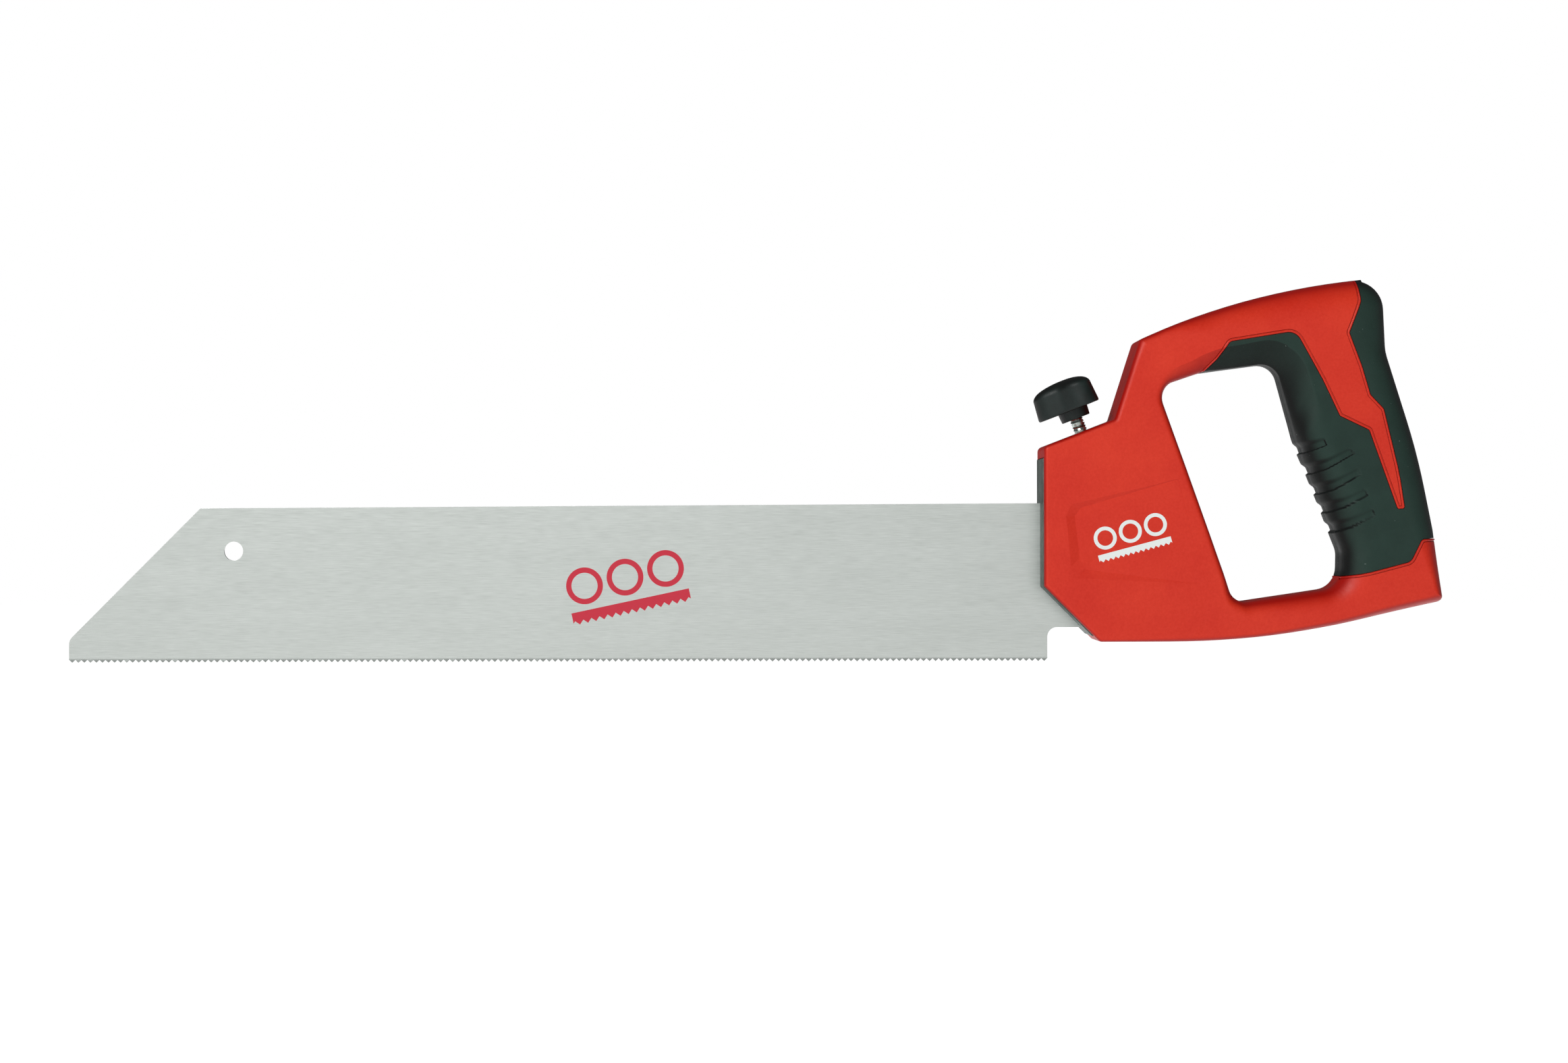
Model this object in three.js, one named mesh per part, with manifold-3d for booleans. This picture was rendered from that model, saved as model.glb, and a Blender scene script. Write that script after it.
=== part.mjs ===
// Hand saw for plastic pipe: a removable 18-inch blade held in a D-shaped, two-shell handle by a hand knob.
// Millimetres. +X runs from the blade's toe to the tail of the handle, +Z up from the tooth tips, Y across.
// The handle is drawn in a frame whose x = 0 is the front of the metal cheeks and whose z = 0 is the tooth line.
import * as THREE from 'three';
import { mergeVertices } from 'three/addons/utils/BufferGeometryUtils.js';
import Module from 'manifold-3d';

const wasm = await Module();
wasm.setup();

// ---- Blade -----------------------------------------------------------------------------------------------
const TEETH_PER_INCH = 9;
const TOOTH_COUNT = 162;
const TOOTH_DEPTH = 1.3;
const BLADE_THICKNESS = 1.0;
const TOE_HEIGHT = 72.0;
const HEEL_HEIGHT = 73.7;
const HEEL_X = 3.3;
const TOE_FLAT = 10.5;
const TOE_ROUND = 5;
const TANG_BOTTOM = 15.8;
const TANG_REACH = 49;
const TANG_ROUND = 4.5;
const TANG_CHAMFER = 3;
const HANG_HOLE_RADIUS = 4.45;
const HANG_HOLE_FROM_TOE = 77;
const HANG_HOLE_HEIGHT = 52;

// ---- Handle outline --------------------------------------------------------------------------------------
const NOSE_HEIGHT = 99.7;
const NOSE_STEP_X = 33.2;
const NOSE_STEP_Z = 112.4;
const CHAMFER_START = 35.2;
const BASE_HEIGHT = 9.5;
const NOSE_LENGTH = 88.6;
const BAR_TOP = 26.8;
const OPENING_WIDTH = 50.6;
const OPENING_HEIGHT = 104.4;
const OPENING_FRONT_DROP = 4.1;
const BAR_SLOPE = 0.152;
const GRIP_LEAN = 0.29;
const ARM_LEAN = 0.355;
const GRIP_DEPTH = 47.0;
const ARM_DEPTH = 33.4;

// ---- Handle thickness and walls --------------------------------------------------------------------------
const NOSE_HALF = 12.5;
const GRIP_HALF = 14.5;
const WALL = 2.2;
const OVERMOULD = 1.8;
const PARTING_GAP = 0.3;
const JOINT_GAP = 0.3;
const FIT_GAP = 0.2;
const RED_SETBACK = 0.4;
const PANEL_DEPTH = 1.0;
const PANEL_FRONT = 11;
const PANEL_REAR = 60;
const PANEL_LOW = 37;
const PANEL_HIGH = 71;
const PANEL_FLARE = 8;

// ---- Clamp -----------------------------------------------------------------------------------------------
const STUD_RADIUS = 3.175;
const STUD_FOOT_ALONG = 20.3;
const STUD_EXPOSED = 6.5;
const STUD_IN_KNOB = 10.5;
const STUD_HEAD_RADIUS = 5;
const STUD_HEAD_HEIGHT = 3;
const NUT_ACROSS_FLATS = 11.1;
const NUT_HEIGHT = 5.6;
const NUT_DEPTH = 5;
const SHOE_WIDTH = 11;
const SHOE_HEIGHT = 9;
const SHOE_HALF = 4.6;
const SHOE_BORE_DEPTH = 5.6;
const CLIP_DEPTH = 2.4;
const CLIP_THICKNESS = 0.8;
const CLIP_RADIUS = 4.2;
const CLIP_MOUTH = 2.4;
const GROOVE_DEPTH = 1;
const STUD_END_CHAMFER = 0.6;
const STUD_END_PLAY = 0.4;
const CLAMP_TRAVEL = 5.08;
const TRAVEL_SPARE = 0.5;
const CONTACT_GAP = 0.1;
const KNOB_LOBES = 3;
const KNOB_MEAN_RADIUS = 14.7;
const KNOB_LOBE_RISE = 2.3;
const KNOB_HEAD_HEIGHT = 14.7;
const KNOB_COLLAR_RADIUS = 7.2;
const KNOB_COLLAR_HEIGHT = 4.4;

// ---- Cheeks and fasteners --------------------------------------------------------------------------------
const SLOT_CLEARANCE = 0.15;
const CHEEK_TOP = 94.4;
const CHEEK_TAIL = 10;
const CHEEK_FOOT_GAP = 0.9;
const CHEEK_ROOF_FRONT = 10;
const CHEEK_ROOF_INSET = 2;
const CHEEK_REAR_DROP = 8;
const LEDGE_GAP = 0.3;
const MOUTH_DEPTH = 8;
const RIVET_RADIUS = 2;
const SCREW_RADIUS = 1.75;
const SCREW_HEAD_RADIUS = 3.5;
const SCREW_HEAD_HEIGHT = 2.6;
const SCREW_SOCKET_RADIUS = 1.5;
const SCREW_SOCKET_DEPTH = 1.6;
const SCREW_SINK = 1.2;
const SCREW_GRIP = 17.2;
const SCREW_TIP_ROOM = 0.6;
const BOSS_RADIUS = 4.2;
const STUD_HOLE_GAP = 0.5;
const ROUND_SIDES = 16;
const SMALL_SIDES = 12;

// ---- Derived places --------------------------------------------------------------------------------------
const toothPitch = 25.4 / TEETH_PER_INCH;
const bladeLength = toothPitch * TOOTH_COUNT;
const toeX = HEEL_X - bladeLength;
const slotHalf = BLADE_THICKNESS / 2 + SLOT_CLEARANCE;
const cheekHalf = NOSE_HALF - WALL - FIT_GAP;
const cheekFoot = BASE_HEIGHT + WALL + CHEEK_FOOT_GAP;
const cheekTail = TANG_REACH + CHEEK_TAIL;
const cheekRear = HEEL_HEIGHT - CHEEK_REAR_DROP;
const noseSlope = Math.atan2(NOSE_STEP_Z - NOSE_HEIGHT, NOSE_STEP_X - RED_SETBACK);
const studUp = new THREE.Vector2(-Math.sin(noseSlope), Math.cos(noseSlope));
const studSide = new THREE.Vector2(Math.cos(noseSlope), Math.sin(noseSlope));
const noseCorner = new THREE.Vector2(RED_SETBACK, NOSE_HEIGHT);
const studFoot = noseCorner.clone().addScaledVector(studSide, STUD_FOOT_ALONG);
const bladeTopDepth = (studFoot.y - HEEL_HEIGHT - CONTACT_GAP) / studUp.y;
const shoeTopDepth = bladeTopDepth - SHOE_HEIGHT;

// The four corners that the hand opening is drawn from.
const lowerFront = new THREE.Vector2(NOSE_LENGTH, BAR_TOP);
const lowerRear = new THREE.Vector2(NOSE_LENGTH + OPENING_WIDTH, BAR_TOP + BAR_SLOPE * OPENING_WIDTH);
const upperRear = new THREE.Vector2(lowerRear.x - GRIP_LEAN * OPENING_HEIGHT, lowerRear.y + OPENING_HEIGHT);
const frontHeight = OPENING_HEIGHT - OPENING_FRONT_DROP;
const upperFront = new THREE.Vector2(lowerFront.x - ARM_LEAN * frontHeight, lowerFront.y + frontHeight);
const handleCentre = lowerFront.clone().add(lowerRear).add(upperRear).add(upperFront).divideScalar(4);

// A corner of an outline: a place and the radius that rounds it.
function corner(x, z, radius = 0) {
  return { at: new THREE.Vector2(x, z), radius };
}

function cornerFrom(base, dx, dz, radius = 0) {
  return corner(base.x + dx, base.y + dz, radius);
}

const outerCorners = [
  corner(RED_SETBACK, NOSE_HEIGHT, 2.5),
  corner(RED_SETBACK, CHAMFER_START, 1),
  corner(CHAMFER_START + RED_SETBACK - BASE_HEIGHT, BASE_HEIGHT, 2),
  corner(NOSE_LENGTH + 12.9, BASE_HEIGHT, 400),
  cornerFrom(lowerRear, GRIP_DEPTH, -6.6, 3),
  cornerFrom(lowerRear, GRIP_DEPTH - 4.2, 26.4, 10),
  cornerFrom(lowerRear, GRIP_DEPTH - 11.1, 0.591 * OPENING_HEIGHT, 300),
  cornerFrom(upperRear, GRIP_DEPTH + 4.3, 5, 20),
  cornerFrom(upperRear, GRIP_DEPTH + 2.7, ARM_DEPTH + 6, 14),
  cornerFrom(upperRear, -12.3, ARM_DEPTH, 320),
  cornerFrom(upperFront, -8.1, ARM_DEPTH - 11.4, 3),
  corner(NOSE_STEP_X, NOSE_STEP_Z, 1.5),
];

const openingCorners = [
  cornerFrom(upperFront, 0, 0, 8),
  cornerFrom(upperFront, 21.8, 7.4, 3),
  cornerFrom(upperRear, 0, 0, 9),
  cornerFrom(upperRear, 10.7, -0.369 * OPENING_HEIGHT, 60),
  cornerFrom(lowerRear, 0.4, 16.5, 10),
  cornerFrom(lowerRear, 0, 0, 10.5),
  cornerFrom(lowerFront, 0, 0, 8),
];

// The overmould covers what lies inside this outline: the grip, less the tongue that runs down its side.
const overmouldCorners = [
  cornerFrom(upperFront, 19.3, 4.1),
  cornerFrom(upperFront, 27.8, 12.7, 6),
  cornerFrom(upperFront, 33.1, 20.6, 2.5),
  cornerFrom(upperRear, 7.0, 13.5, 6),
  cornerFrom(upperRear, 19.2, -9.0, 20),
  cornerFrom(upperRear, 26.9, -25.6, 1.5),
  cornerFrom(upperRear, 40.4, -32.1, 1.5),
  cornerFrom(lowerRear, 23.1, 35.9, 1.2),
  cornerFrom(lowerRear, 26.8, 36.1, 1.2),
  cornerFrom(lowerRear, 24.3, 52.5, 80),
  cornerFrom(upperRear, 47.5, -22.2, 1.5),
  cornerFrom(upperRear, 41.3, -15.7, 1.5),
  cornerFrom(upperRear, 37.4, -2.4, 12),
  cornerFrom(upperRear, 31.8, 12.8, 1.5),
  cornerFrom(upperRear, 37.6, 27.5, 6),
  cornerFrom(upperRear, 36.2, ARM_DEPTH + 20),
  cornerFrom(upperRear, GRIP_DEPTH + 60, ARM_DEPTH + 20),
  cornerFrom(lowerRear, GRIP_DEPTH + 20, 24.0),
  cornerFrom(lowerRear, 34.4, 22.3, 2.5),
  cornerFrom(lowerRear, 29.4, 12.0, 4),
  cornerFrom(lowerRear, 9.0, 6.6, 40),
  cornerFrom(lowerRear, -11.0, 3.6),
  cornerFrom(lowerRear, -28.0, 14.0),
];

// How the section changes around the D, by the angle seen from the middle of the opening: half thickness,
// then the in-plane width and the depth of the rounding on the outer side and on the opening's side.
const SECTIONS = [
  { angle: -90, half: 12.6, outer: [3, 3], inner: [6, 5.5] },
  { angle: -60, half: 13.2, outer: [4, 4], inner: [9, 8] },
  { angle: -35, half: 13.9, outer: [7, 6], inner: [12, 10] },
  { angle: -15, half: GRIP_HALF, outer: [12, 11], inner: [14, 12.5] },
  { angle: 10, half: GRIP_HALF, outer: [14, 12], inner: [14, 12.5] },
  { angle: 45, half: GRIP_HALF, outer: [15, 12], inner: [12, 11] },
  { angle: 60, half: 14.2, outer: [18, 11], inner: [9, 9] },
  { angle: 80, half: 13.7, outer: [18, 9], inner: [7, 7] },
  { angle: 100, half: 13.2, outer: [12, 7], inner: [5, 5] },
  { angle: 120, half: 12.7, outer: [5, 4], inner: [4, 4] },
  { angle: 135, half: NOSE_HALF, outer: [2.8, 2.8], inner: [3.5, 3.5] },
  { angle: 165, half: NOSE_HALF, outer: [2.6, 2.6], inner: [3, 3] },
  { angle: 172, half: NOSE_HALF, outer: [1.8, 1.8], inner: [3, 3] },
  { angle: 226, half: NOSE_HALF, outer: [1.8, 1.8], inner: [3, 3] },
  { angle: 245, half: NOSE_HALF, outer: [3, 3], inner: [4, 4] },
  { angle: 270, half: 12.6, outer: [3, 3], inner: [6, 5.5] },
];

// Where the screws that close the two shells stand.
const screwPlaces = [
  cornerFrom(upperFront, 2, 13.9).at,
  cornerFrom(upperRear, 19.1, 22.1).at,
  cornerFrom(upperRear, 30.6, -10.9).at,
  cornerFrom(lowerRear, 31.8, 4.5).at,
  cornerFrom(lowerRear, -21.2, -12.0).at,
  cornerFrom(lowerFront, -22.6, -5.8).at,
  cornerFrom(upperFront, -7, -13.1).at,
];

// Where the rivets that join the two cheeks stand: two above the blade and two behind its tang.
const rivetPlaces = [
  new THREE.Vector2(8.5, HEEL_HEIGHT + 12),
  new THREE.Vector2(TANG_REACH - 4, HEEL_HEIGHT + 10),
  new THREE.Vector2(TANG_REACH + CHEEK_TAIL / 2, TANG_BOTTOM + 14),
  new THREE.Vector2(TANG_REACH + CHEEK_TAIL / 2, HEEL_HEIGHT - 16),
];

// ---- Finishes --------------------------------------------------------------------------------------------
function finish(color, roughness, metalness) {
  return new THREE.MeshStandardMaterial({ color, roughness, metalness });
}

const finishes = {
  bladeSteel: () => finish('#bec5c0', 0.38, 0.9),
  castAlloy: () => finish('#66706a', 0.55, 0.8),
  redShell: () => finish('#ce3a2c', 0.5, 0),
  softGrip: () => finish('#2b3635', 0.75, 0),
  blackKnob: () => finish('#1d2122', 0.55, 0),
  zincSteel: () => finish('#b4bab4', 0.35, 0.9),
  darkSteel: () => finish('#4a4e4f', 0.4, 0.9),
};

// ---- Solid helpers ---------------------------------------------------------------------------------------
function solid(geometry) {
  const bare = geometry.clone();
  bare.deleteAttribute('normal');
  bare.deleteAttribute('uv');
  const merged = mergeVertices(bare, 1e-4);
  const vertProperties = merged.attributes.position.array;
  const triVerts = new Uint32Array(merged.index.array);
  return new wasm.Manifold(new wasm.Mesh({ numProp: 3, vertProperties, triVerts }));
}

function meshOf(name, body, material) {
  const { vertProperties, triVerts } = body.getMesh();
  const geometry = new THREE.BufferGeometry();
  geometry.setAttribute('position', new THREE.BufferAttribute(vertProperties, 3));
  geometry.setIndex(new THREE.BufferAttribute(triVerts, 1));
  const faceted = geometry.toNonIndexed();
  faceted.computeVertexNormals();
  const mesh = new THREE.Mesh(faceted, material);
  mesh.name = name;
  return mesh;
}

// A flat plate: an outline in the X-Z plane, thick from one y to another.
function plate(points, fromY, toY) {
  const geometry = new THREE.ExtrudeGeometry(new THREE.Shape(points), {
    depth: toY - fromY,
    bevelEnabled: false,
  });
  geometry.rotateX(Math.PI / 2);
  geometry.translate(0, toY, 0);
  return solid(geometry);
}

function box(fromX, toX, fromY, toY, fromZ, toZ) {
  const geometry = new THREE.BoxGeometry(toX - fromX, toY - fromY, toZ - fromZ);
  geometry.translate((fromX + toX) / 2, (fromY + toY) / 2, (fromZ + toZ) / 2);
  return solid(geometry);
}

// A round bar along Y at a place in the X-Z plane.
function crossBar(place, radius, fromY, toY, sides = ROUND_SIDES) {
  const geometry = new THREE.CylinderGeometry(radius, radius, toY - fromY, sides);
  geometry.translate(place.x, (fromY + toY) / 2, place.y);
  return solid(geometry);
}

// Turns a shape that stands on the local Z axis onto the stud's axis; depth counts down from the nose top.
function onStud(geometry) {
  geometry.rotateY(-noseSlope);
  geometry.translate(studFoot.x, 0, studFoot.y);
  return solid(geometry);
}

// A body turned about the stud's axis, from a profile of [radius, height above the nose top].
function turnedOnStud(profile, sides = ROUND_SIDES) {
  const points = profile.map(([radius, height]) => new THREE.Vector2(radius, height));
  const geometry = new THREE.LatheGeometry(points, sides);
  geometry.rotateX(Math.PI / 2);
  return onStud(geometry);
}

function studBar(radius, fromDepth, toDepth, sides = ROUND_SIDES) {
  const geometry = new THREE.CylinderGeometry(radius, radius, toDepth - fromDepth, sides);
  geometry.rotateX(Math.PI / 2);
  geometry.translate(0, 0, -(fromDepth + toDepth) / 2);
  return onStud(geometry);
}

// A point in the X-Z plane given by its depth along the stud and its offset to the side.
function studPoint(side, depth) {
  return studFoot.clone().addScaledVector(studUp, -depth).addScaledVector(studSide, side);
}

// ---- Outlines --------------------------------------------------------------------------------------------
// Rounds each corner of a closed polygon with an arc, drawn in steps of at most maxTurn.
function roundedOutline(corners, maxTurn = 0.35, maxStep = 30) {
  const points = [];
  corners.forEach(({ at, radius }, i) => {
    const before = corners.at(i - 1).at;
    const after = corners[(i + 1) % corners.length].at;
    const back = before.clone().sub(at).normalize();
    const ahead = after.clone().sub(at).normalize();
    const between = Math.acos(THREE.MathUtils.clamp(back.dot(ahead), -1, 1));
    const turn = Math.PI - between;
    if (radius === 0 || turn < 1e-3) {
      points.push(at.clone());
      return;
    }
    const reach = radius * Math.tan(turn / 2);
    const steps = Math.max(1, Math.ceil(turn / maxTurn), Math.ceil((radius * turn) / maxStep));
    const middle = back.clone().add(ahead).normalize();
    const centre = at.clone().addScaledVector(middle, radius / Math.sin(between / 2));
    const start = at.clone().addScaledVector(back, reach).sub(centre);
    const side = Math.sign(back.cross(ahead)) * -1;
    for (let k = 0; k <= steps; k++) {
      points.push(start.clone().rotateAround(new THREE.Vector2(), (side * turn * k) / steps).add(centre));
    }
  });
  return points;
}

// Moves every point of a closed outline outwards by a distance, or inwards where it is negative.
function offsetOutline(points, distance) {
  const turning = Math.sign(THREE.ShapeUtils.area(points));
  return points.map((point, i) => {
    const before = point.clone().sub(points.at(i - 1)).normalize();
    const after = points[(i + 1) % points.length].clone().sub(point).normalize();
    const normalBefore = new THREE.Vector2(before.y, -before.x);
    const normalAfter = new THREE.Vector2(after.y, -after.x);
    const normal = normalBefore.clone().add(normalAfter).normalize();
    const mitre = 1 / Math.max(0.5, normal.dot(normalAfter));
    return point.clone().addScaledVector(normal, distance * mitre * turning);
  });
}

function distanceToOutline(point, outline) {
  let nearest = Infinity;
  outline.forEach((start, i) => {
    const edge = outline[(i + 1) % outline.length].clone().sub(start);
    const rel = point.clone().sub(start);
    const along = THREE.MathUtils.clamp(rel.dot(edge) / edge.lengthSq(), 0, 1);
    nearest = Math.min(nearest, rel.addScaledVector(edge, -along).length());
  });
  return nearest;
}

// ---- The D-shaped ring -----------------------------------------------------------------------------------
const outerOutline = roundedOutline(outerCorners);
const openingOutline = roundedOutline(openingCorners);

function angleOf(point) {
  return Math.atan2(point.y - handleCentre.y, point.x - handleCentre.x);
}

function rayPoint(angle, radius) {
  return new THREE.Vector2(Math.cos(angle), Math.sin(angle)).multiplyScalar(radius).add(handleCentre);
}

// How far from the middle a ray meets an outline.
function rayHit(outline, angle) {
  const ray = new THREE.Vector2(Math.cos(angle), Math.sin(angle));
  let hit = 0;
  outline.forEach((start, i) => {
    const edge = outline[(i + 1) % outline.length].clone().sub(start);
    const rel = start.clone().sub(handleCentre);
    const denominator = ray.cross(edge);
    const radius = rel.cross(edge) / denominator;
    const along = rel.cross(ray) / denominator;
    if (along >= -1e-6 && along <= 1 + 1e-6 && radius > hit) {
      hit = radius;
    }
  });
  return hit;
}

// The radius on a ray where the wall's surface, depth deep behind the outline, is crossed.
function rayDepth(outline, angle, depth, inwards) {
  const start = rayHit(outline, angle);
  const sign = inwards ? -1 : 1;
  let near = 0;
  let far = 3 * depth + 0.5;
  for (let pass = 0; pass < 30; pass++) {
    const step = (near + far) / 2;
    const tooShallow = distanceToOutline(rayPoint(angle, start + sign * step), outline) < depth;
    near = tooShallow ? step : near;
    far = tooShallow ? far : step;
  }
  return start + (sign * (near + far)) / 2;
}

// The section at an angle: a smooth blend of the two stations that it lies between.
function sectionAt(angle) {
  let degrees = THREE.MathUtils.radToDeg(angle);
  while (degrees < -90) {
    degrees += 360;
  }
  const next = Math.max(1, SECTIONS.findIndex((s) => s.angle >= degrees));
  const [a, b] = [SECTIONS[next - 1], SECTIONS[next]];
  const t = THREE.MathUtils.smoothstep(degrees, a.angle, b.angle);
  const mix = (p, q) => THREE.MathUtils.lerp(p, q, t);
  return {
    half: mix(a.half, b.half),
    outer: [mix(a.outer[0], b.outer[0]), mix(a.outer[1], b.outer[1])],
    inner: [mix(a.inner[0], b.inner[0]), mix(a.inner[1], b.inner[1])],
  };
}

// The ring has a section at every point of both outlines, less those that stand too close to the last.
const LEAST_TURN = 0.011;
const LEAST_ROUND = 0.3;
const stationAngles = [];
for (const angle of [...outerOutline, ...openingOutline].map(angleOf).sort((a, b) => a - b)) {
  if (!stationAngles.length || angle - stationAngles.at(-1) > LEAST_TURN) {
    stationAngles.push(angle);
  }
}

// The whole D as one closed ring, with every face moved inwards by inset(angle).
function ringSolid(inset, roundSteps) {
  const rows = stationAngles.map((angle) => {
    const { half, outer, inner } = sectionAt(angle);
    const deep = inset(angle);
    const side = (outline, [width, depth], inwards) => {
      const points = [];
      for (let k = 0; k <= roundSteps; k++) {
        const turn = (k / roundSteps) * (Math.PI / 2);
        const across = deep + Math.max(width - deep, LEAST_ROUND) * (1 - Math.cos(turn));
        const y = half - deep - Math.max(depth - deep, LEAST_ROUND) * (1 - Math.sin(turn));
        points.push([rayPoint(angle, rayDepth(outline, angle, across, inwards)), y]);
      }
      return points;
    };
    const right = [...side(outerOutline, outer, true), ...side(openingOutline, inner, false).reverse()];
    const left = [...right].reverse().map(([p, y]) => [p, -y]);
    return [...right, ...left].map(([p, y]) => new THREE.Vector3(p.x, y, p.y));
  });
  const count = rows[0].length;
  const geometry = new THREE.BufferGeometry().setFromPoints(rows.flat());
  const index = [];
  rows.forEach((_, j) => {
    const here = j * count;
    const there = ((j + 1) % rows.length) * count;
    for (let k = 0; k < count; k++) {
      const m = (k + 1) % count;
      index.push(here + k, here + m, there + m, here + k, there + m, there + k);
    }
  });
  geometry.setIndex(index);
  return solid(geometry);
}

// 1 in the grip and 0 in the nose, for what changes between them.
function gripShare(angle) {
  const degrees = THREE.MathUtils.radToDeg(angle);
  return THREE.MathUtils.smoothstep(degrees, -95, -70) - THREE.MathUtils.smoothstep(degrees, 118, 132);
}

const skin = ringSolid(() => 0, 3);
const underOvermould = ringSolid(() => OVERMOULD, 3);
const underGap = ringSolid(() => OVERMOULD + JOINT_GAP, 3);
const hollow = ringSolid((angle) => WALL + (OVERMOULD + JOINT_GAP) * gripShare(angle), 1);

// Cuts run this far past the solid, and the parting cut takes in the whole handle.
const REACH = 60;
const handleLength = NOSE_LENGTH + OPENING_WIDTH + GRIP_DEPTH;
const handleHeight = BAR_TOP + OPENING_HEIGHT + ARM_DEPTH;

// Keeps one side of the parting plane: -1 is the left side, +1 the right side.
function halfOf(body, side) {
  const near = PARTING_GAP / 2;
  const [fromY, toY] = side < 0 ? [-REACH, -near] : [near, REACH];
  return body.intersect(box(-REACH, handleLength + REACH, fromY, toY, -REACH, handleHeight + REACH));
}

// ---- Handle shells ---------------------------------------------------------------------------------------
const overmouldOutline = roundedOutline(overmouldCorners, 0.6);

// The gap in the front of the nose that shows the cheeks.
function noseMouth() {
  const wide = cheekHalf + JOINT_GAP;
  const foot = cheekFoot - JOINT_GAP;
  const top = CHEEK_TOP + JOINT_GAP;
  const chamferFoot = CHAMFER_START - foot;
  const points = [
    [-REACH, top],
    [MOUTH_DEPTH, top],
    [MOUTH_DEPTH, CHAMFER_START + MOUTH_DEPTH / 2],
    [chamferFoot + MOUTH_DEPTH, foot + WALL],
    [chamferFoot + MOUTH_DEPTH, foot],
    [chamferFoot - REACH, foot],
    [-REACH, CHAMFER_START],
  ];
  return plate(points.map(([x, z]) => new THREE.Vector2(x, z)), -wide, wide);
}

// The shallow sunk panel on each side of the nose: deepest along its front wall, flush at its rear.
function nosePanel(side) {
  const edge = [
    [PANEL_FRONT, PANEL_LOW + PANEL_FLARE / 4, PANEL_DEPTH],
    [PANEL_FRONT, PANEL_HIGH, PANEL_DEPTH],
    [PANEL_REAR, PANEL_HIGH + PANEL_FLARE, 0],
    [PANEL_REAR + PANEL_FLARE, PANEL_LOW, 0],
  ];
  const floor = edge.map(([x, z, depth]) => new THREE.Vector3(x, NOSE_HALF - depth, z));
  const above = edge.map(([x, z]) => new THREE.Vector3(x, NOSE_HALF + WALL, z));
  const geometry = new THREE.BufferGeometry().setFromPoints([...floor, ...above]);
  geometry.setIndex([
    0, 1, 2, 0, 2, 3, 4, 6, 5, 4, 7, 6, 0, 5, 1, 0, 4, 5,
    1, 6, 2, 1, 5, 6, 2, 7, 3, 2, 6, 7, 3, 4, 0, 3, 7, 4,
  ]);
  if (side < 0) {
    geometry.scale(1, -1, 1);
    geometry.index.array.reverse();
  }
  return solid(geometry);
}

function screwBoss(place, side) {
  const boss = crossBar(place, BOSS_RADIUS, -REACH, REACH);
  return halfOf(boss.intersect(underGap), side);
}

const screwHeadBottom = NOSE_HALF - SCREW_SINK - SCREW_HEAD_HEIGHT;

function shellHalf(side) {
  let shell = skin.subtract(plate(offsetOutline(overmouldOutline, JOINT_GAP), -REACH, REACH).subtract(underGap));
  shell = halfOf(shell.subtract(hollow), side);
  for (const place of screwPlaces) {
    shell = shell.add(screwBoss(place, side));
  }
  for (const place of screwPlaces) {
    const holeEnd = screwHeadBottom - SCREW_GRIP - SCREW_TIP_ROOM;
    shell = shell.subtract(crossBar(place, SCREW_RADIUS + FIT_GAP, holeEnd, REACH));
    if (side > 0) {
      const seat = screwHeadBottom - CONTACT_GAP;
      shell = shell.subtract(crossBar(place, SCREW_HEAD_RADIUS + FIT_GAP, seat, REACH));
    }
  }
  shell = shell.subtract(noseMouth());
  shell = shell.subtract(studBar(STUD_RADIUS + STUD_HOLE_GAP, -NOSE_STEP_X, NOSE_STEP_X));
  return shell.subtract(nosePanel(side));
}

function overmouldHalf(side) {
  const cover = skin.intersect(plate(overmouldOutline, -REACH, REACH)).subtract(underOvermould);
  return halfOf(cover, side);
}

// ---- Blade -----------------------------------------------------------------------------------------------
function bladeShape() {
  const shape = new THREE.Shape();
  shape.moveTo(HEEL_X, 0);
  shape.lineTo(HEEL_X, TANG_BOTTOM - TANG_ROUND);
  shape.quadraticCurveTo(HEEL_X, TANG_BOTTOM, HEEL_X + TANG_ROUND, TANG_BOTTOM);
  shape.lineTo(TANG_REACH - TANG_CHAMFER, TANG_BOTTOM);
  shape.lineTo(TANG_REACH, TANG_BOTTOM + TANG_CHAMFER);
  shape.lineTo(TANG_REACH, HEEL_HEIGHT - TANG_CHAMFER);
  shape.lineTo(TANG_REACH - TANG_CHAMFER, HEEL_HEIGHT);
  shape.lineTo(0, HEEL_HEIGHT);
  const slant = TOE_HEIGHT - TOE_FLAT;
  shape.lineTo(toeX + slant, TOE_HEIGHT);
  shape.lineTo(toeX + TOE_ROUND / 2, TOE_FLAT + TOE_ROUND / 2);
  shape.quadraticCurveTo(toeX, TOE_FLAT, toeX, TOE_FLAT - TOE_ROUND / 2);
  shape.lineTo(toeX, 0);
  for (let tooth = 0; tooth < TOOTH_COUNT; tooth++) {
    const start = toeX + tooth * toothPitch;
    shape.lineTo(start + toothPitch / 2, TOOTH_DEPTH);
    if (tooth < TOOTH_COUNT - 1) {
      shape.lineTo(start + toothPitch, 0);
    }
  }
  return shape;
}

function blade() {
  const points = bladeShape().extractPoints(3).shape;
  const plain = plate(points, -BLADE_THICKNESS / 2, BLADE_THICKNESS / 2);
  const holeAt = new THREE.Vector2(toeX + HANG_HOLE_FROM_TOE, HANG_HOLE_HEIGHT);
  return plain.subtract(crossBar(holeAt, HANG_HOLE_RADIUS, -REACH, REACH, 24));
}

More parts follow.
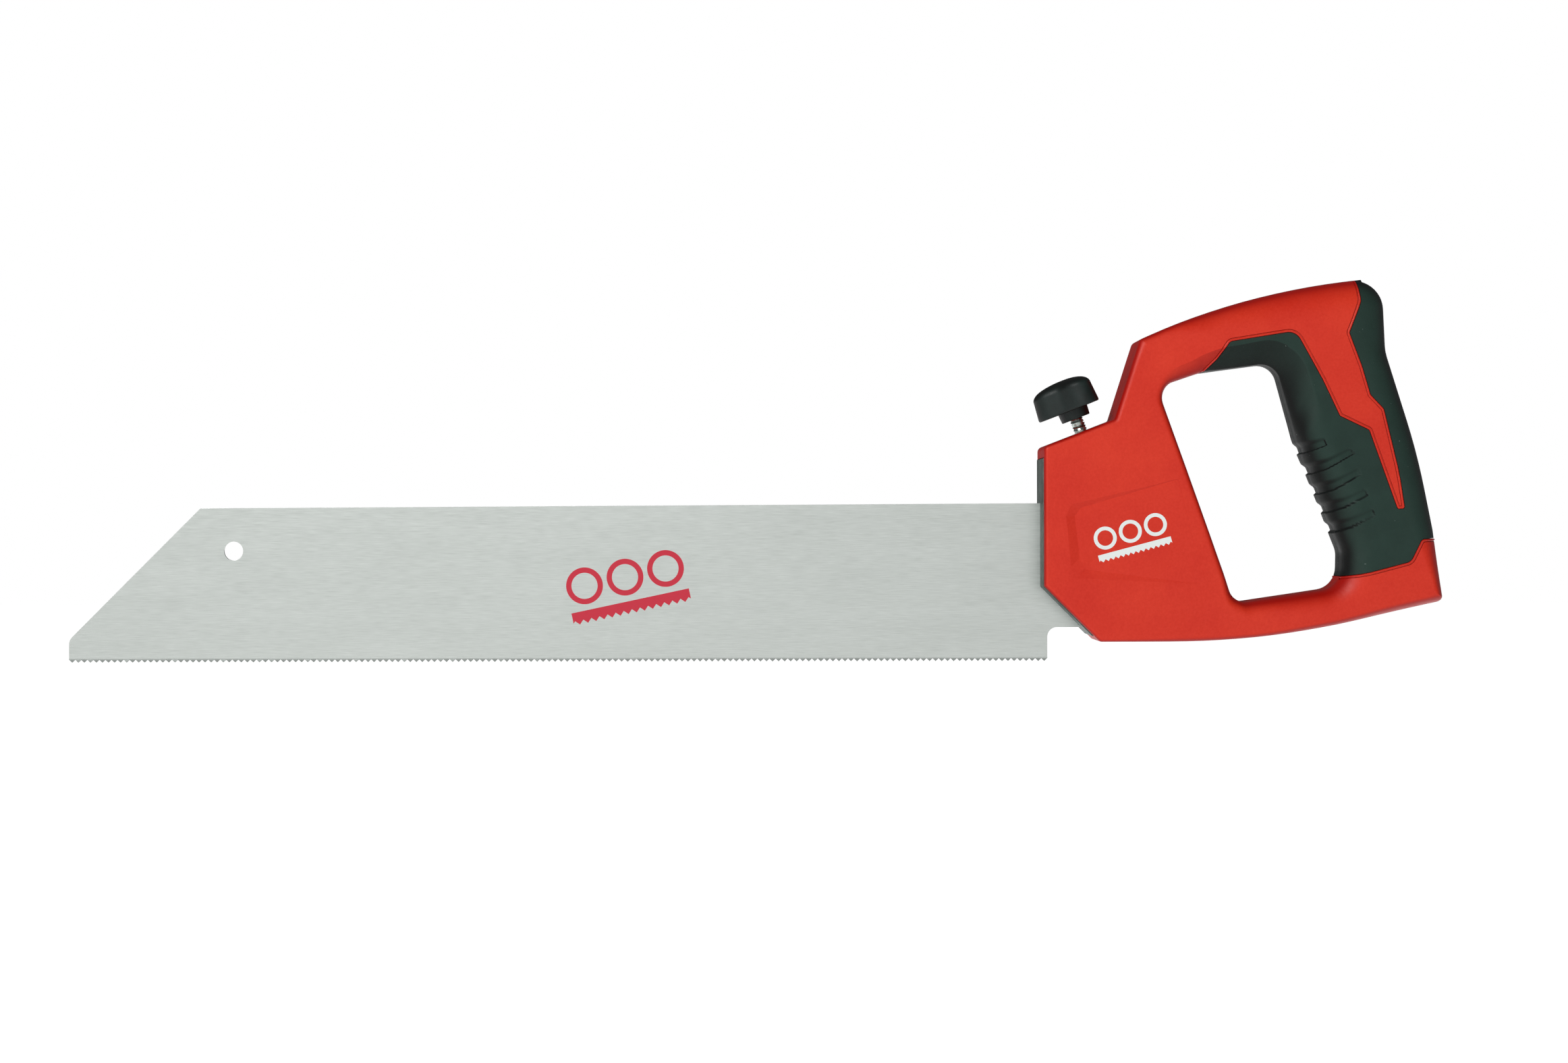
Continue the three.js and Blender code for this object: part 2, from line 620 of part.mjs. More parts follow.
// ---- Cheeks ----------------------------------------------------------------------------------------------
function cheekOutline() {
  const underSlope = WALL + JOINT_GAP + FIT_GAP;
  const roof = (x) => NOSE_HEIGHT + (x - RED_SETBACK) * Math.tan(noseSlope) - underSlope / Math.cos(noseSlope);
  const roofRear = NOSE_STEP_X - CHEEK_ROOF_INSET;
  const points = [
    [0, CHEEK_TOP],
    [0, CHAMFER_START - RED_SETBACK],
    [CHAMFER_START - RED_SETBACK - cheekFoot, cheekFoot],
    [cheekTail, cheekFoot],
    [cheekTail, cheekRear],
    [TANG_REACH + CHEEK_ROOF_INSET, HEEL_HEIGHT + 2 * CHEEK_REAR_DROP],
    [roofRear, roof(roofRear)],
    [CHEEK_ROOF_FRONT, roof(CHEEK_ROOF_FRONT)],
    [CHEEK_ROOF_FRONT / 2, CHEEK_TOP],
  ];
  return points.map(([x, z]) => new THREE.Vector2(x, z));
}

function shoeOutline(gap, lift) {
  const half = SHOE_WIDTH / 2 + gap;
  const bottom = HEEL_HEIGHT + CONTACT_GAP - 2 * gap;
  const depthAt = (side) => (studFoot.y - bottom + side * studSide.y) / studUp.y;
  return [
    studPoint(-half, shoeTopDepth - lift),
    studPoint(-half, depthAt(-half)),
    studPoint(half, depthAt(half)),
    studPoint(half, shoeTopDepth - lift),
  ];
}

function nutBody(gap) {
  const radius = (NUT_ACROSS_FLATS / 2 + gap) / Math.cos(Math.PI / 6);
  const geometry = new THREE.CylinderGeometry(radius, radius, NUT_HEIGHT + 2 * gap, 6);
  geometry.rotateX(Math.PI / 2);
  geometry.rotateZ(Math.PI / 2);
  geometry.translate(0, 0, -(NUT_DEPTH + NUT_HEIGHT / 2));
  return onStud(geometry);
}

function withRivetHoles(body) {
  return rivetPlaces.reduce(
    (rest, place) => rest.subtract(crossBar(place, RIVET_RADIUS + FIT_GAP, -REACH, REACH, SMALL_SIDES)),
    body,
  );
}

function cheek(side) {
  const [near, far] = [slotHalf, cheekHalf];
  const [fromY, toY] = side < 0 ? [-far, -near] : [near, far];
  let body = plate(cheekOutline(), fromY, toY);
  body = body.subtract(studBar(STUD_RADIUS + FIT_GAP, -1, shoeTopDepth + 1));
  body = body.subtract(nutBody(FIT_GAP));
  const shoeRoom = SHOE_HALF + FIT_GAP;
  body = body.subtract(plate(shoeOutline(FIT_GAP, CLAMP_TRAVEL + TRAVEL_SPARE), -shoeRoom, shoeRoom));
  return withRivetHoles(body);
}

// The left cheek also carries the ledge that closes the slot under and behind the tang.
function leftCheek() {
  const seat = TANG_BOTTOM - CONTACT_GAP;
  const behindTang = TANG_REACH + LEDGE_GAP;
  const chamferLine = CHAMFER_START - RED_SETBACK;
  const points = [
    [chamferLine - cheekFoot, cheekFoot],
    [cheekTail, cheekFoot],
    [cheekTail, cheekRear],
    [behindTang, cheekRear],
    [behindTang, seat],
    [chamferLine - seat, seat],
  ];
  const outline = points.map(([x, z]) => new THREE.Vector2(x, z));
  const ledge = withRivetHoles(plate(outline, -slotHalf - LEDGE_GAP, slotHalf - FIT_GAP));
  return cheek(-1).add(ledge);
}

function rivet(place) {
  return crossBar(place, RIVET_RADIUS, -cheekHalf, cheekHalf, SMALL_SIDES);
}

// ---- Clamp -----------------------------------------------------------------------------------------------
const studTip = shoeTopDepth + SHOE_BORE_DEPTH - STUD_END_PLAY;
const clipTop = shoeTopDepth + CLIP_DEPTH;
const headTop = STUD_EXPOSED + STUD_IN_KNOB;
const grooveRadius = STUD_RADIUS - GROOVE_DEPTH;

function stud() {
  const grooveTop = -(clipTop - FIT_GAP);
  const grooveBottom = -(clipTop + CLIP_THICKNESS + FIT_GAP);
  return turnedOnStud([
    [0, -studTip],
    [STUD_RADIUS - STUD_END_CHAMFER, -studTip],
    [STUD_RADIUS, -studTip + STUD_END_CHAMFER],
    [STUD_RADIUS, grooveBottom],
    [grooveRadius, grooveBottom],
    [grooveRadius, grooveTop],
    [STUD_RADIUS, grooveTop],
    [STUD_RADIUS, headTop - STUD_HEAD_HEIGHT],
    [STUD_HEAD_RADIUS, headTop - STUD_HEAD_HEIGHT],
    [STUD_HEAD_RADIUS, headTop],
    [0, headTop],
  ]);
}

function nut() {
  return nutBody(0).subtract(studBar(STUD_RADIUS + FIT_GAP, 0, NUT_DEPTH + NUT_HEIGHT + 1));
}

function shoe() {
  const body = plate(shoeOutline(0, 0), -SHOE_HALF, SHOE_HALF);
  const bore = studBar(STUD_RADIUS + FIT_GAP, shoeTopDepth - 1, shoeTopDepth + SHOE_BORE_DEPTH);
  const clipFloor = clipTop + CLIP_THICKNESS + CONTACT_GAP;
  const clipRoom = studBar(CLIP_RADIUS + FIT_GAP, clipTop - CONTACT_GAP, clipFloor);
  return body.subtract(bore).subtract(clipRoom);
}

// A C-shaped spring clip in the stud's groove.
function clip() {
  const ring = studBar(CLIP_RADIUS, clipTop, clipTop + CLIP_THICKNESS);
  const bore = studBar(grooveRadius + FIT_GAP, clipTop - 1, clipTop + CLIP_THICKNESS + 1);
  const mouth = new THREE.BoxGeometry(CLIP_RADIUS * 2, CLIP_MOUTH, 4 * CLIP_THICKNESS);
  mouth.translate(CLIP_RADIUS, 0, -clipTop);
  return ring.subtract(bore).subtract(onStud(mouth));
}

function knobRadius(turn) {
  return KNOB_MEAN_RADIUS + KNOB_LOBE_RISE * Math.cos(KNOB_LOBES * (turn - Math.PI));
}

// The head's profile from its foot to its crown: [share of the lobed outline, share of the head's height].
const KNOB_PROFILE = [
  [0.97, 0],
  [1, 0.05],
  [0.948, 0.69],
  [0.9, 0.81],
  [0.79, 0.88],
  [0.56, 0.945],
  [0.28, 0.985],
];

const KNOB_SIDES = 36;

function knobHead() {
  const sides = KNOB_SIDES;
  const foot = STUD_EXPOSED + KNOB_COLLAR_HEIGHT;
  const points = [new THREE.Vector3(0, 0, foot), new THREE.Vector3(0, 0, foot + KNOB_HEAD_HEIGHT)];
  for (const [share, up] of KNOB_PROFILE) {
    for (let k = 0; k < sides; k++) {
      const turn = (2 * Math.PI * k) / sides;
      const radius = knobRadius(turn) * share;
      const height = foot + up * KNOB_HEAD_HEIGHT;
      points.push(new THREE.Vector3(radius * Math.cos(turn), radius * Math.sin(turn), height));
    }
  }
  const index = [];
  const ring = (row, k) => 2 + row * sides + (k % sides);
  const last = KNOB_PROFILE.length - 1;
  for (let k = 0; k < sides; k++) {
    index.push(0, ring(0, k + 1), ring(0, k));
    index.push(1, ring(last, k), ring(last, k + 1));
    for (let row = 0; row < last; row++) {
      index.push(ring(row, k), ring(row, k + 1), ring(row + 1, k + 1));
      index.push(ring(row, k), ring(row + 1, k + 1), ring(row + 1, k));
    }
  }
  const geometry = new THREE.BufferGeometry().setFromPoints(points);
  geometry.setIndex(index);
  return onStud(geometry);
}

function knob() {
  const collar = studBar(KNOB_COLLAR_RADIUS, -(STUD_EXPOSED + KNOB_COLLAR_HEIGHT + 1), -STUD_EXPOSED, 24);
  const room = turnedOnStud([
    [0, STUD_EXPOSED - 1],
    [STUD_RADIUS + FIT_GAP, STUD_EXPOSED - 1],
    [STUD_RADIUS + FIT_GAP, headTop - STUD_HEAD_HEIGHT - FIT_GAP],
    [STUD_HEAD_RADIUS + FIT_GAP, headTop - STUD_HEAD_HEIGHT - FIT_GAP],
    [STUD_HEAD_RADIUS + FIT_GAP, headTop + FIT_GAP],
    [0, headTop + FIT_GAP],
  ]);
  return knobHead().add(collar).subtract(room);
}

// ---- Screws ----------------------------------------------------------------------------------------------
function screw(place) {
  const head = crossBar(place, SCREW_HEAD_RADIUS, screwHeadBottom, screwHeadBottom + SCREW_HEAD_HEIGHT);
  const shank = crossBar(place, SCREW_RADIUS, screwHeadBottom - SCREW_GRIP, screwHeadBottom + 0.5);
  const socketTop = screwHeadBottom + SCREW_HEAD_HEIGHT;
  const socket = crossBar(place, SCREW_SOCKET_RADIUS, socketTop - SCREW_SOCKET_DEPTH, socketTop + 1, 6);
  return head.add(shank).subtract(socket);
}

// ---- Assembly --------------------------------------------------------------------------------------------
const saw = new THREE.Group();

saw.add(meshOf('blade', blade(), finishes.bladeSteel()));
saw.add(meshOf('clamp_cheek_left', leftCheek(), finishes.castAlloy()));
saw.add(meshOf('clamp_cheek_right', cheek(1), finishes.castAlloy()));
rivetPlaces.forEach((place, i) => {
  saw.add(meshOf(`cheek_rivet_${i + 1}`, rivet(place), finishes.darkSteel()));
});
saw.add(meshOf('clamp_stud', stud(), finishes.zincSteel()));
saw.add(meshOf('clamp_knob', knob(), finishes.blackKnob()));
saw.add(meshOf('captive_nut', nut(), finishes.zincSteel()));
saw.add(meshOf('clamp_shoe', shoe(), finishes.darkSteel()));
saw.add(meshOf('shoe_clip', clip(), finishes.darkSteel()));
saw.add(meshOf('handle_shell_left', shellHalf(-1), finishes.redShell()));
saw.add(meshOf('handle_shell_right', shellHalf(1), finishes.redShell()));
saw.add(meshOf('grip_overmould_left', overmouldHalf(-1), finishes.softGrip()));
saw.add(meshOf('grip_overmould_right', overmouldHalf(1), finishes.softGrip()));
screwPlaces.forEach((place, i) => {
  saw.add(meshOf(`handle_screw_${i + 1}`, screw(place), finishes.darkSteel()));
});

// The part's origin is under the middle of its length.
const reach = new THREE.Box3().setFromObject(saw);
saw.position.x = -(reach.min.x + reach.max.x) / 2;

export default saw;
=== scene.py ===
"""Visual model of a hand saw for plastic pipe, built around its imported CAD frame.

The saw's side view lies in the X-Z plane. Handle sizes are in millimetres in the handle's own frame, whose
x = 0 is the front of the metal cheeks and whose z = 0 is the tooth line; Workshop turns them to metres.
"""

import logging
import math
from collections.abc import Sequence
from dataclasses import dataclass, field, replace
from enum import Enum

import bmesh
import bpy
import numpy as np
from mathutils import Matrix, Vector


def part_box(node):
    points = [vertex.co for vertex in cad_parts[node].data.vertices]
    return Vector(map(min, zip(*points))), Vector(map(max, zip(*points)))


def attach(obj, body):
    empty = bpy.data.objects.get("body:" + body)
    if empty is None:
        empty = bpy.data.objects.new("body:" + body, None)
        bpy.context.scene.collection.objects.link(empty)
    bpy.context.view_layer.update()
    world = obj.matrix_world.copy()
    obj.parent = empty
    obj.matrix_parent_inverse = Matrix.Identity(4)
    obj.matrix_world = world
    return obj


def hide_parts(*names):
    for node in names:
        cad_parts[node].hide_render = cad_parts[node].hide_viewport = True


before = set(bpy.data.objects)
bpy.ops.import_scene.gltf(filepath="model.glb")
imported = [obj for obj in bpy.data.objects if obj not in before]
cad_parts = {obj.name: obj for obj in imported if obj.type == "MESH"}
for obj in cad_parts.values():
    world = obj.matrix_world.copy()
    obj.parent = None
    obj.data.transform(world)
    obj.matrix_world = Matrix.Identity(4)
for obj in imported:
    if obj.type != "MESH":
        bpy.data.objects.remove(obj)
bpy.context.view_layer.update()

MM = 0.001
LOG = logging.getLogger("pipe_saw")


# ---- Names and small tools ----
class Side(Enum):
    """A side of the saw, as the sign of its Y."""

    LEFT = -1
    RIGHT = 1


class Cut(Enum):
    """What a tool body does to the body it meets."""

    JOIN = "UNION"
    REMOVE = "DIFFERENCE"
    KEEP = "INTERSECT"


def srgb(code: str) -> tuple[float, float, float, float]:
    """Turns an sRGB hex colour, as '#rrggbb', to linear red, green, blue and alpha."""
    parts = [int(code[i : i + 2], 16) / 255 for i in (1, 3, 5)]
    linear = [c / 12.92 if c <= 0.04045 else ((c + 0.055) / 1.055) ** 2.4 for c in parts]
    return (*linear, 1.0)


def add_node(tree: bpy.types.NodeTree, kind: str, inputs: dict | None = None, **settings) -> bpy.types.Node:
    """Adds a node with its settings and links.

    Args:
        tree: the tree that gets the node.
        kind: the node's type name.
        inputs: a value or an output socket for each input, by its name or number.
        settings: the node's own properties.

    Returns:
        The new node.
    """
    node = tree.nodes.new(kind)
    for name, value in settings.items():
        setattr(node, name, value)
    for key, value in (inputs or {}).items():
        if isinstance(value, bpy.types.NodeSocket):
            tree.links.new(value, node.inputs[key])
        else:
            node.inputs[key].default_value = value
    return node


def smoothstep(value: np.ndarray | float, low: float, high: float) -> np.ndarray:
    """Rises smoothly from 0 at low to 1 at high."""
    t = np.clip((np.asarray(value, float) - low) / (high - low), 0, 1)
    return t * t * (3 - 2 * t)


# ---- Outlines in the side view ----
@dataclass(frozen=True)
class Corner:
    """A corner of an outline in the side view, in millimetres, and the radius that rounds it."""

    x: float
    z: float
    radius: float = 0.0


def rounded_outline(corners: Sequence[Corner], max_turn: float = 0.16, max_step: float = 8.0) -> np.ndarray:
    """Rounds each corner of a closed polygon with an arc.

    Args:
        corners: the polygon's corners, in order.
        max_turn: the largest turn between two points of an arc, in radians.
        max_step: the largest distance between two points of an arc.

    Returns:
        The outline's points, one row each.
    """
    places = np.array([(c.x, c.z) for c in corners])
    points = []
    for i, corner in enumerate(corners):
        at = places[i]
        back = places[i - 1] - at
        ahead = places[(i + 1) % len(corners)] - at
        back, ahead = back / np.linalg.norm(back), ahead / np.linalg.norm(ahead)
        between = math.acos(float(np.clip(back @ ahead, -1, 1)))
        turn = math.pi - between
        if corner.radius == 0 or turn < 1e-3:
            points.append(at)
            continue
        steps = max(1, math.ceil(turn / max_turn), math.ceil(corner.radius * turn / max_step))
        middle = (back + ahead) / np.linalg.norm(back + ahead)
        centre = at + middle * corner.radius / math.sin(between / 2)
        start = at + back * corner.radius * math.tan(turn / 2) - centre
        side = -np.sign(back[0] * ahead[1] - back[1] * ahead[0])
        for k in range(steps + 1):
            a = side * turn * k / steps
            spin = np.array([[math.cos(a), -math.sin(a)], [math.sin(a), math.cos(a)]])
            points.append(centre + spin @ start)
    return np.array(points)


def offset_outline(points: np.ndarray, distance: float) -> np.ndarray:
    """Moves a closed outline outwards by a distance, or inwards where it is negative."""
    before = points - np.roll(points, 1, 0)
    after = np.roll(points, -1, 0) - points
    area = np.sum(points[:, 0] * np.roll(points[:, 1], -1) - np.roll(points[:, 0], -1) * points[:, 1])
    normals = [
        np.column_stack((v[:, 1], -v[:, 0])) / np.linalg.norm(v, axis=1)[:, None] for v in (before, after)
    ]
    normal = normals[0] + normals[1]
    normal /= np.linalg.norm(normal, axis=1)[:, None]
    mitre = 1 / np.maximum(0.5, np.sum(normal * normals[1], axis=1))
    return points + normal * (distance * mitre * np.sign(area))[:, None]


def distance_to(outline: np.ndarray, points: np.ndarray) -> np.ndarray:
    """The distance of each point to a closed outline."""
    edges = np.roll(outline, -1, 0) - outline
    lengths = np.maximum(np.sum(edges**2, axis=1), 1e-12)
    nearest = np.empty(len(points))
    for first in range(0, len(points), 4000):
        rel = points[first : first + 4000, None, :] - outline[None]
        along = np.clip(np.sum(rel * edges, axis=2) / lengths, 0, 1)
        rel -= along[..., None] * edges
        nearest[first : first + 4000] = np.sqrt(np.min(np.sum(rel**2, axis=2), axis=1))
    return nearest


def inside(outline: np.ndarray, points: np.ndarray) -> np.ndarray:
    """Whether each point lies inside a closed outline."""
    ends = np.roll(outline, -1, 0)
    px, pz = points[:, :1], points[:, 1:]
    spans = (outline[:, 1] > pz) != (ends[:, 1] > pz)
    rise = np.where(ends[:, 1] == outline[:, 1], 1e-12, ends[:, 1] - outline[:, 1])
    crossing = outline[:, 0] + (pz - outline[:, 1]) * (ends[:, 0] - outline[:, 0]) / rise
    return np.sum(spans & (px < crossing), axis=1) % 2 == 1


# ---- Mesh tools ----
@dataclass(frozen=True)
class Workshop:
    """Turns sizes in the handle's frame to meshes in the saw's frame, and joins and cuts them."""

    front_x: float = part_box("clamp_cheek_left")[0].x

    def mesh(self, points: np.ndarray, faces: Sequence[Sequence[int]]) -> bpy.types.Mesh:
        """Makes a mesh from points in the handle's frame.

        Args:
            points: x, y and z in millimetres, one row each.
            faces: the corners of each face, by point number.

        Returns:
            The mesh, in metres in the saw's frame, with its faces pointing out.
        """
        placed = np.asarray(points, float) * MM
        placed[:, 0] += self.front_x
        mesh = bpy.data.meshes.new("work")
        mesh.from_pydata([tuple(p) for p in placed], [], [tuple(int(i) for i in f) for f in faces])
        shape = bmesh.new()
        shape.from_mesh(mesh)
        bmesh.ops.recalc_face_normals(shape, faces=shape.faces)
        shape.to_mesh(mesh)
        shape.free()
        return mesh

    def prism(self, outline: np.ndarray, from_y: float, to_y: float) -> bpy.types.Mesh:
        """A plate of a side-view outline, thick from one y to another."""
        n = len(outline)
        points = [(x, y, z) for y in (from_y, to_y) for x, z in outline]
        faces = [range(n), range(2 * n - 1, n - 1, -1)]
        faces += [(i, (i + 1) % n, n + (i + 1) % n, n + i) for i in range(n)]
        return self.mesh(np.array(points), faces)

    def loft(self, rows: Sequence[np.ndarray], ring: bool = False) -> bpy.types.Mesh:
        """Skins closed rows of equally many points, capped at both ends, or closed on itself as a ring."""
        count, n = len(rows), len(rows[0])
        faces = []
        for j in range(count if ring else count - 1):
            here, there = j * n, ((j + 1) % count) * n
            faces += [(here + k, here + (k + 1) % n, there + (k + 1) % n, there + k) for k in range(n)]
        if not ring:
            faces += [range(n), range(count * n - 1, (count - 1) * n - 1, -1)]
        return self.mesh(np.vstack(rows), faces)

    def bar(
        self, x: float, z: float, profile: Sequence[tuple[float, float]], sides: int = 48
    ) -> bpy.types.Mesh:
        """A body turned about a line along Y, from a profile of (radius, y)."""
        turns = np.linspace(0, 2 * math.pi, sides, endpoint=False)
        rows = [
            np.column_stack((x + r * np.cos(turns), np.full(sides, y), z + r * np.sin(turns)))
            for r, y in profile
        ]
        return self.loft(rows)

    def plain(self, piece: bpy.types.Object) -> bpy.types.Mesh:
        """The object's evaluated mesh; the object itself is removed."""
        bpy.context.view_layer.update()
        graph = bpy.context.evaluated_depsgraph_get()
        mesh = bpy.data.meshes.new_from_object(piece.evaluated_get(graph), depsgraph=graph)
        bpy.data.objects.remove(piece)
        return mesh

    def stand(self, mesh: bpy.types.Mesh, name: str = "work") -> bpy.types.Object:
        """Puts a mesh in the scene as an object at the origin."""
        piece = bpy.data.objects.new(name, mesh)
        bpy.context.scene.collection.objects.link(piece)
        return piece

    def combine(self, body: bpy.types.Mesh, tool: bpy.types.Mesh, how: Cut) -> bpy.types.Mesh:
        """Joins, cuts or trims a closed mesh with another.

        Args:
            body: the mesh that is changed.
            tool: the mesh that changes it.
            how: what the tool does.

        Returns:
            A new closed mesh.
        """
        piece, cutter = self.stand(body), self.stand(tool, "tool")
        change = piece.modifiers.new("cut", "BOOLEAN")
        change.solver = "MANIFOLD"
        change.operation = how.value
        change.object = cutter
        result = self.plain(piece)
        bpy.data.objects.remove(cutter)
        return result

    def bevelled(
        self, mesh: bpy.types.Mesh, width: float, segments: int = 2, angle: float = 35
    ) -> bpy.types.Mesh:
        """Rounds a mesh's sharp edges by a width in millimetres."""
        piece = self.stand(mesh)
        edge = piece.modifiers.new("edge", "BEVEL")
        edge.width = width * MM
        edge.segments = segments
        edge.limit_method = "ANGLE"
        edge.angle_limit = math.radians(angle)
        edge.use_clamp_overlap = True
        return self.plain(piece)

    def copy_of(self, node: str) -> bpy.types.Mesh:
        """A merged copy of a CAD node's mesh."""
        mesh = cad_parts[node].data.copy()
        shape = bmesh.new()
        shape.from_mesh(mesh)
        bmesh.ops.remove_doubles(shape, verts=shape.verts, dist=1e-6)
        bmesh.ops.dissolve_limit(shape, angle_limit=math.radians(0.5), verts=shape.verts, edges=shape.edges)
        shape.to_mesh(mesh)
        shape.free()
        return mesh

    def piece(
        self,
        name: str,
        meshes: Sequence[bpy.types.Mesh],
        material: bpy.types.Material,
        body: str,
        slot: str,
        nodes: Sequence[str],
        smooth: float = 32,
    ) -> bpy.types.Object:
        """Finishes a piece: one smooth-shaded object that rides on a body and stands for CAD nodes.

        Args:
            name: the piece's name.
            meshes: its closed meshes, which are put together unchanged.
            material: its finish.
            body: the CAD body that it moves with.
            slot: the record's material slot; not used.
            nodes: the CAD nodes that it stands for.
            smooth: the angle, in degrees, from which an edge is drawn sharp.

        Returns:
            The finished object.
        """
        shape = bmesh.new()
        for mesh in meshes:
            shape.from_mesh(mesh)
        joined = bpy.data.meshes.new(name)
        bmesh.ops.triangulate(shape, faces=[f for f in shape.faces if len(f.verts) > 4])
        shape.to_mesh(joined)
        shape.free()
        joined.materials.clear()
        joined.materials.append(material)
        joined.polygons.foreach_set("material_index", [0] * len(joined.polygons))
        joined.polygons.foreach_set("use_smooth", [True] * len(joined.polygons))
        joined.set_sharp_from_angle(angle=math.radians(smooth))
        obj = self.stand(joined, name)
        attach(obj, body)
        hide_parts(*nodes)
        LOG.info("%s: %d faces for %s", name, len(joined.polygons), ", ".join(nodes))
        return obj


SHOP = Workshop()


@dataclass
class NodeTool:
    """A Geometry Nodes tree with named inputs, run once on a mesh."""

    name: str
    inputs: dict[str, str]
    tree: bpy.types.NodeTree = field(init=False)
    source: bpy.types.Node = field(init=False)

    def __post_init__(self) -> None:
        """Makes the empty tree and its sockets."""
        self.tree = bpy.data.node_groups.new(self.name, "GeometryNodeTree")
        self.tree.interface.new_socket("Geometry", in_out="INPUT", socket_type="NodeSocketGeometry")
        self.tree.interface.new_socket("Geometry", in_out="OUTPUT", socket_type="NodeSocketGeometry")
        for label, kind in self.inputs.items():
            self.tree.interface.new_socket(label, in_out="INPUT", socket_type=kind)
        self.source = self.tree.nodes.new("NodeGroupInput")

    def take(self, label: str) -> bpy.types.NodeSocket:
        """The output that carries a named input."""
        return self.source.outputs[label]

    def close(self, made: bpy.types.NodeSocket, material: bpy.types.Material, keep: bool = False) -> None:
        """Ends the tree in Realize Instances and Set Material.

        Args:
            made: the geometry that the tree has made.
            material: its finish.
            keep: whether the geometry that came in stays beside it.
        """
        if keep:
            both = add_node(self.tree, "GeometryNodeJoinGeometry")
            for part in (self.take("Geometry"), made):
                self.tree.links.new(part, both.inputs[0])
            made = both.outputs[0]
        real = add_node(self.tree, "GeometryNodeRealizeInstances", {0: made}).outputs[0]
        dressed = add_node(self.tree, "GeometryNodeSetMaterial", {"Geometry": real, "Material": material})
        add_node(self.tree, "NodeGroupOutput", {0: dressed.outputs[0]})

    def run(self, mesh: bpy.types.Mesh, **values) -> bpy.types.Mesh:
        """Runs the tree on a mesh.

        Args:
            mesh: the mesh that goes in.
            values: the named inputs' values.

        Returns:
            The plain mesh that comes out.
        """
        piece = SHOP.stand(mesh)
        work = piece.modifiers.new(self.name, "NODES")
        work.node_group = self.tree
        for item in self.tree.interface.items_tree:
            if item.in_out == "INPUT" and item.name in values:
                work[item.identifier] = values[item.name]
        return SHOP.plain(piece)


def set_out(
    name: str,
    model: bpy.types.Mesh,
    places: Sequence[tuple[float, float]],
    material: bpy.types.Material,
) -> bpy.types.Mesh:
    """Sets copies of a model on places in the side view, by a node tree.

    Args:
        name: the tree's name.
        model: the model, which stands at the handle frame's origin.
        places: x and z of each copy, in millimetres.
        material: the copies' finish.

    Returns:
        One mesh of all the copies.
    """
    tool = NodeTool(name, {"Model": "NodeSocketObject", "Scale": "NodeSocketFloat"})
    info = add_node(tool.tree, "GeometryNodeObjectInfo", {"Object": tool.take("Model")})
    placed = add_node(
        tool.tree,
        "GeometryNodeInstanceOnPoints",
        {
            "Points": tool.take("Geometry"),
            "Instance": info.outputs["Geometry"],
            "Scale": tool.take("Scale"),
        },
    )
    tool.close(placed.outputs[0], material)
    points = bpy.data.meshes.new("places")
    points.from_pydata([(x * MM, 0, z * MM) for x, z in places], [], [])
    standing = SHOP.stand(model, "model")
    result = tool.run(points, Model=standing, Scale=1.0)
    bpy.data.objects.remove(standing)
    return result


# ---- Finishes ----
@dataclass(frozen=True)
class Pattern:
    """A soft random pattern: the size of its features in millimetres, and the range that it is spread over.

    The noise mostly runs from 0.3 to 0.7; weakest and strongest are the values that become low and high.
    """

    size_mm: float
    detail: float = 3.0
    stretch: float = 1.0
    low: float = 0.0
    high: float = 1.0
    weakest: float = 0.3
    strongest: float = 0.7

    def add(self, tree: bpy.types.NodeTree, place: bpy.types.NodeSocket) -> bpy.types.NodeSocket:
        """Adds the pattern to a material; its features are stretched along the saw.

        Args:
            tree: the material's tree.
            place: the Object coordinates, in metres.

        Returns:
            The pattern's value.
        """
        turned = add_node(tree, "ShaderNodeMapping", {"Vector": place, "Scale": (1 / self.stretch, 1, 1)})
        noise = add_node(
            tree,
            "ShaderNodeTexNoise",
            {
                "Vector": turned.outputs[0],
                "Scale": 1 / (self.size_mm * MM),
                "Detail": self.detail,
                "Roughness": 0.55,
            },
        )
        spread = add_node(
            tree,
            "ShaderNodeMapRange",
            {
                "Value": noise.outputs["Fac"],
                "From Min": self.weakest,
                "From Max": self.strongest,
                "To Min": self.low,
                "To Max": self.high,
            },
        )
        return spread.outputs[0]


def edge_shade_share(tree: bpy.types.NodeTree, low: float, high: float) -> bpy.types.NodeSocket:
    """0 where the surface faces straight out of a side of the saw, up to 1 where it turns away: the share of
    shade that the finishes paint on rounded edges.

    Args:
        tree: the material's tree.
        low: the size of the normal's Y at which the value is 1.
        high: the size of the normal's Y at which it is 0.

    Returns:
        The value.
    """
    normal = add_node(tree, "ShaderNodeTexCoord").outputs["Normal"]
    across = add_node(tree, "ShaderNodeSeparateXYZ", {0: normal}).outputs[1]
    size = add_node(tree, "ShaderNodeMath", {0: across}, operation="ABSOLUTE").outputs[0]
    share = add_node(
        tree,
        "ShaderNodeMapRange",
        {"Value": size, "From Min": low, "From Max": high, "To Min": 1.0, "To Max": 0.0},
        interpolation_type="SMOOTHSTEP",
    )
    return share.outputs[0]


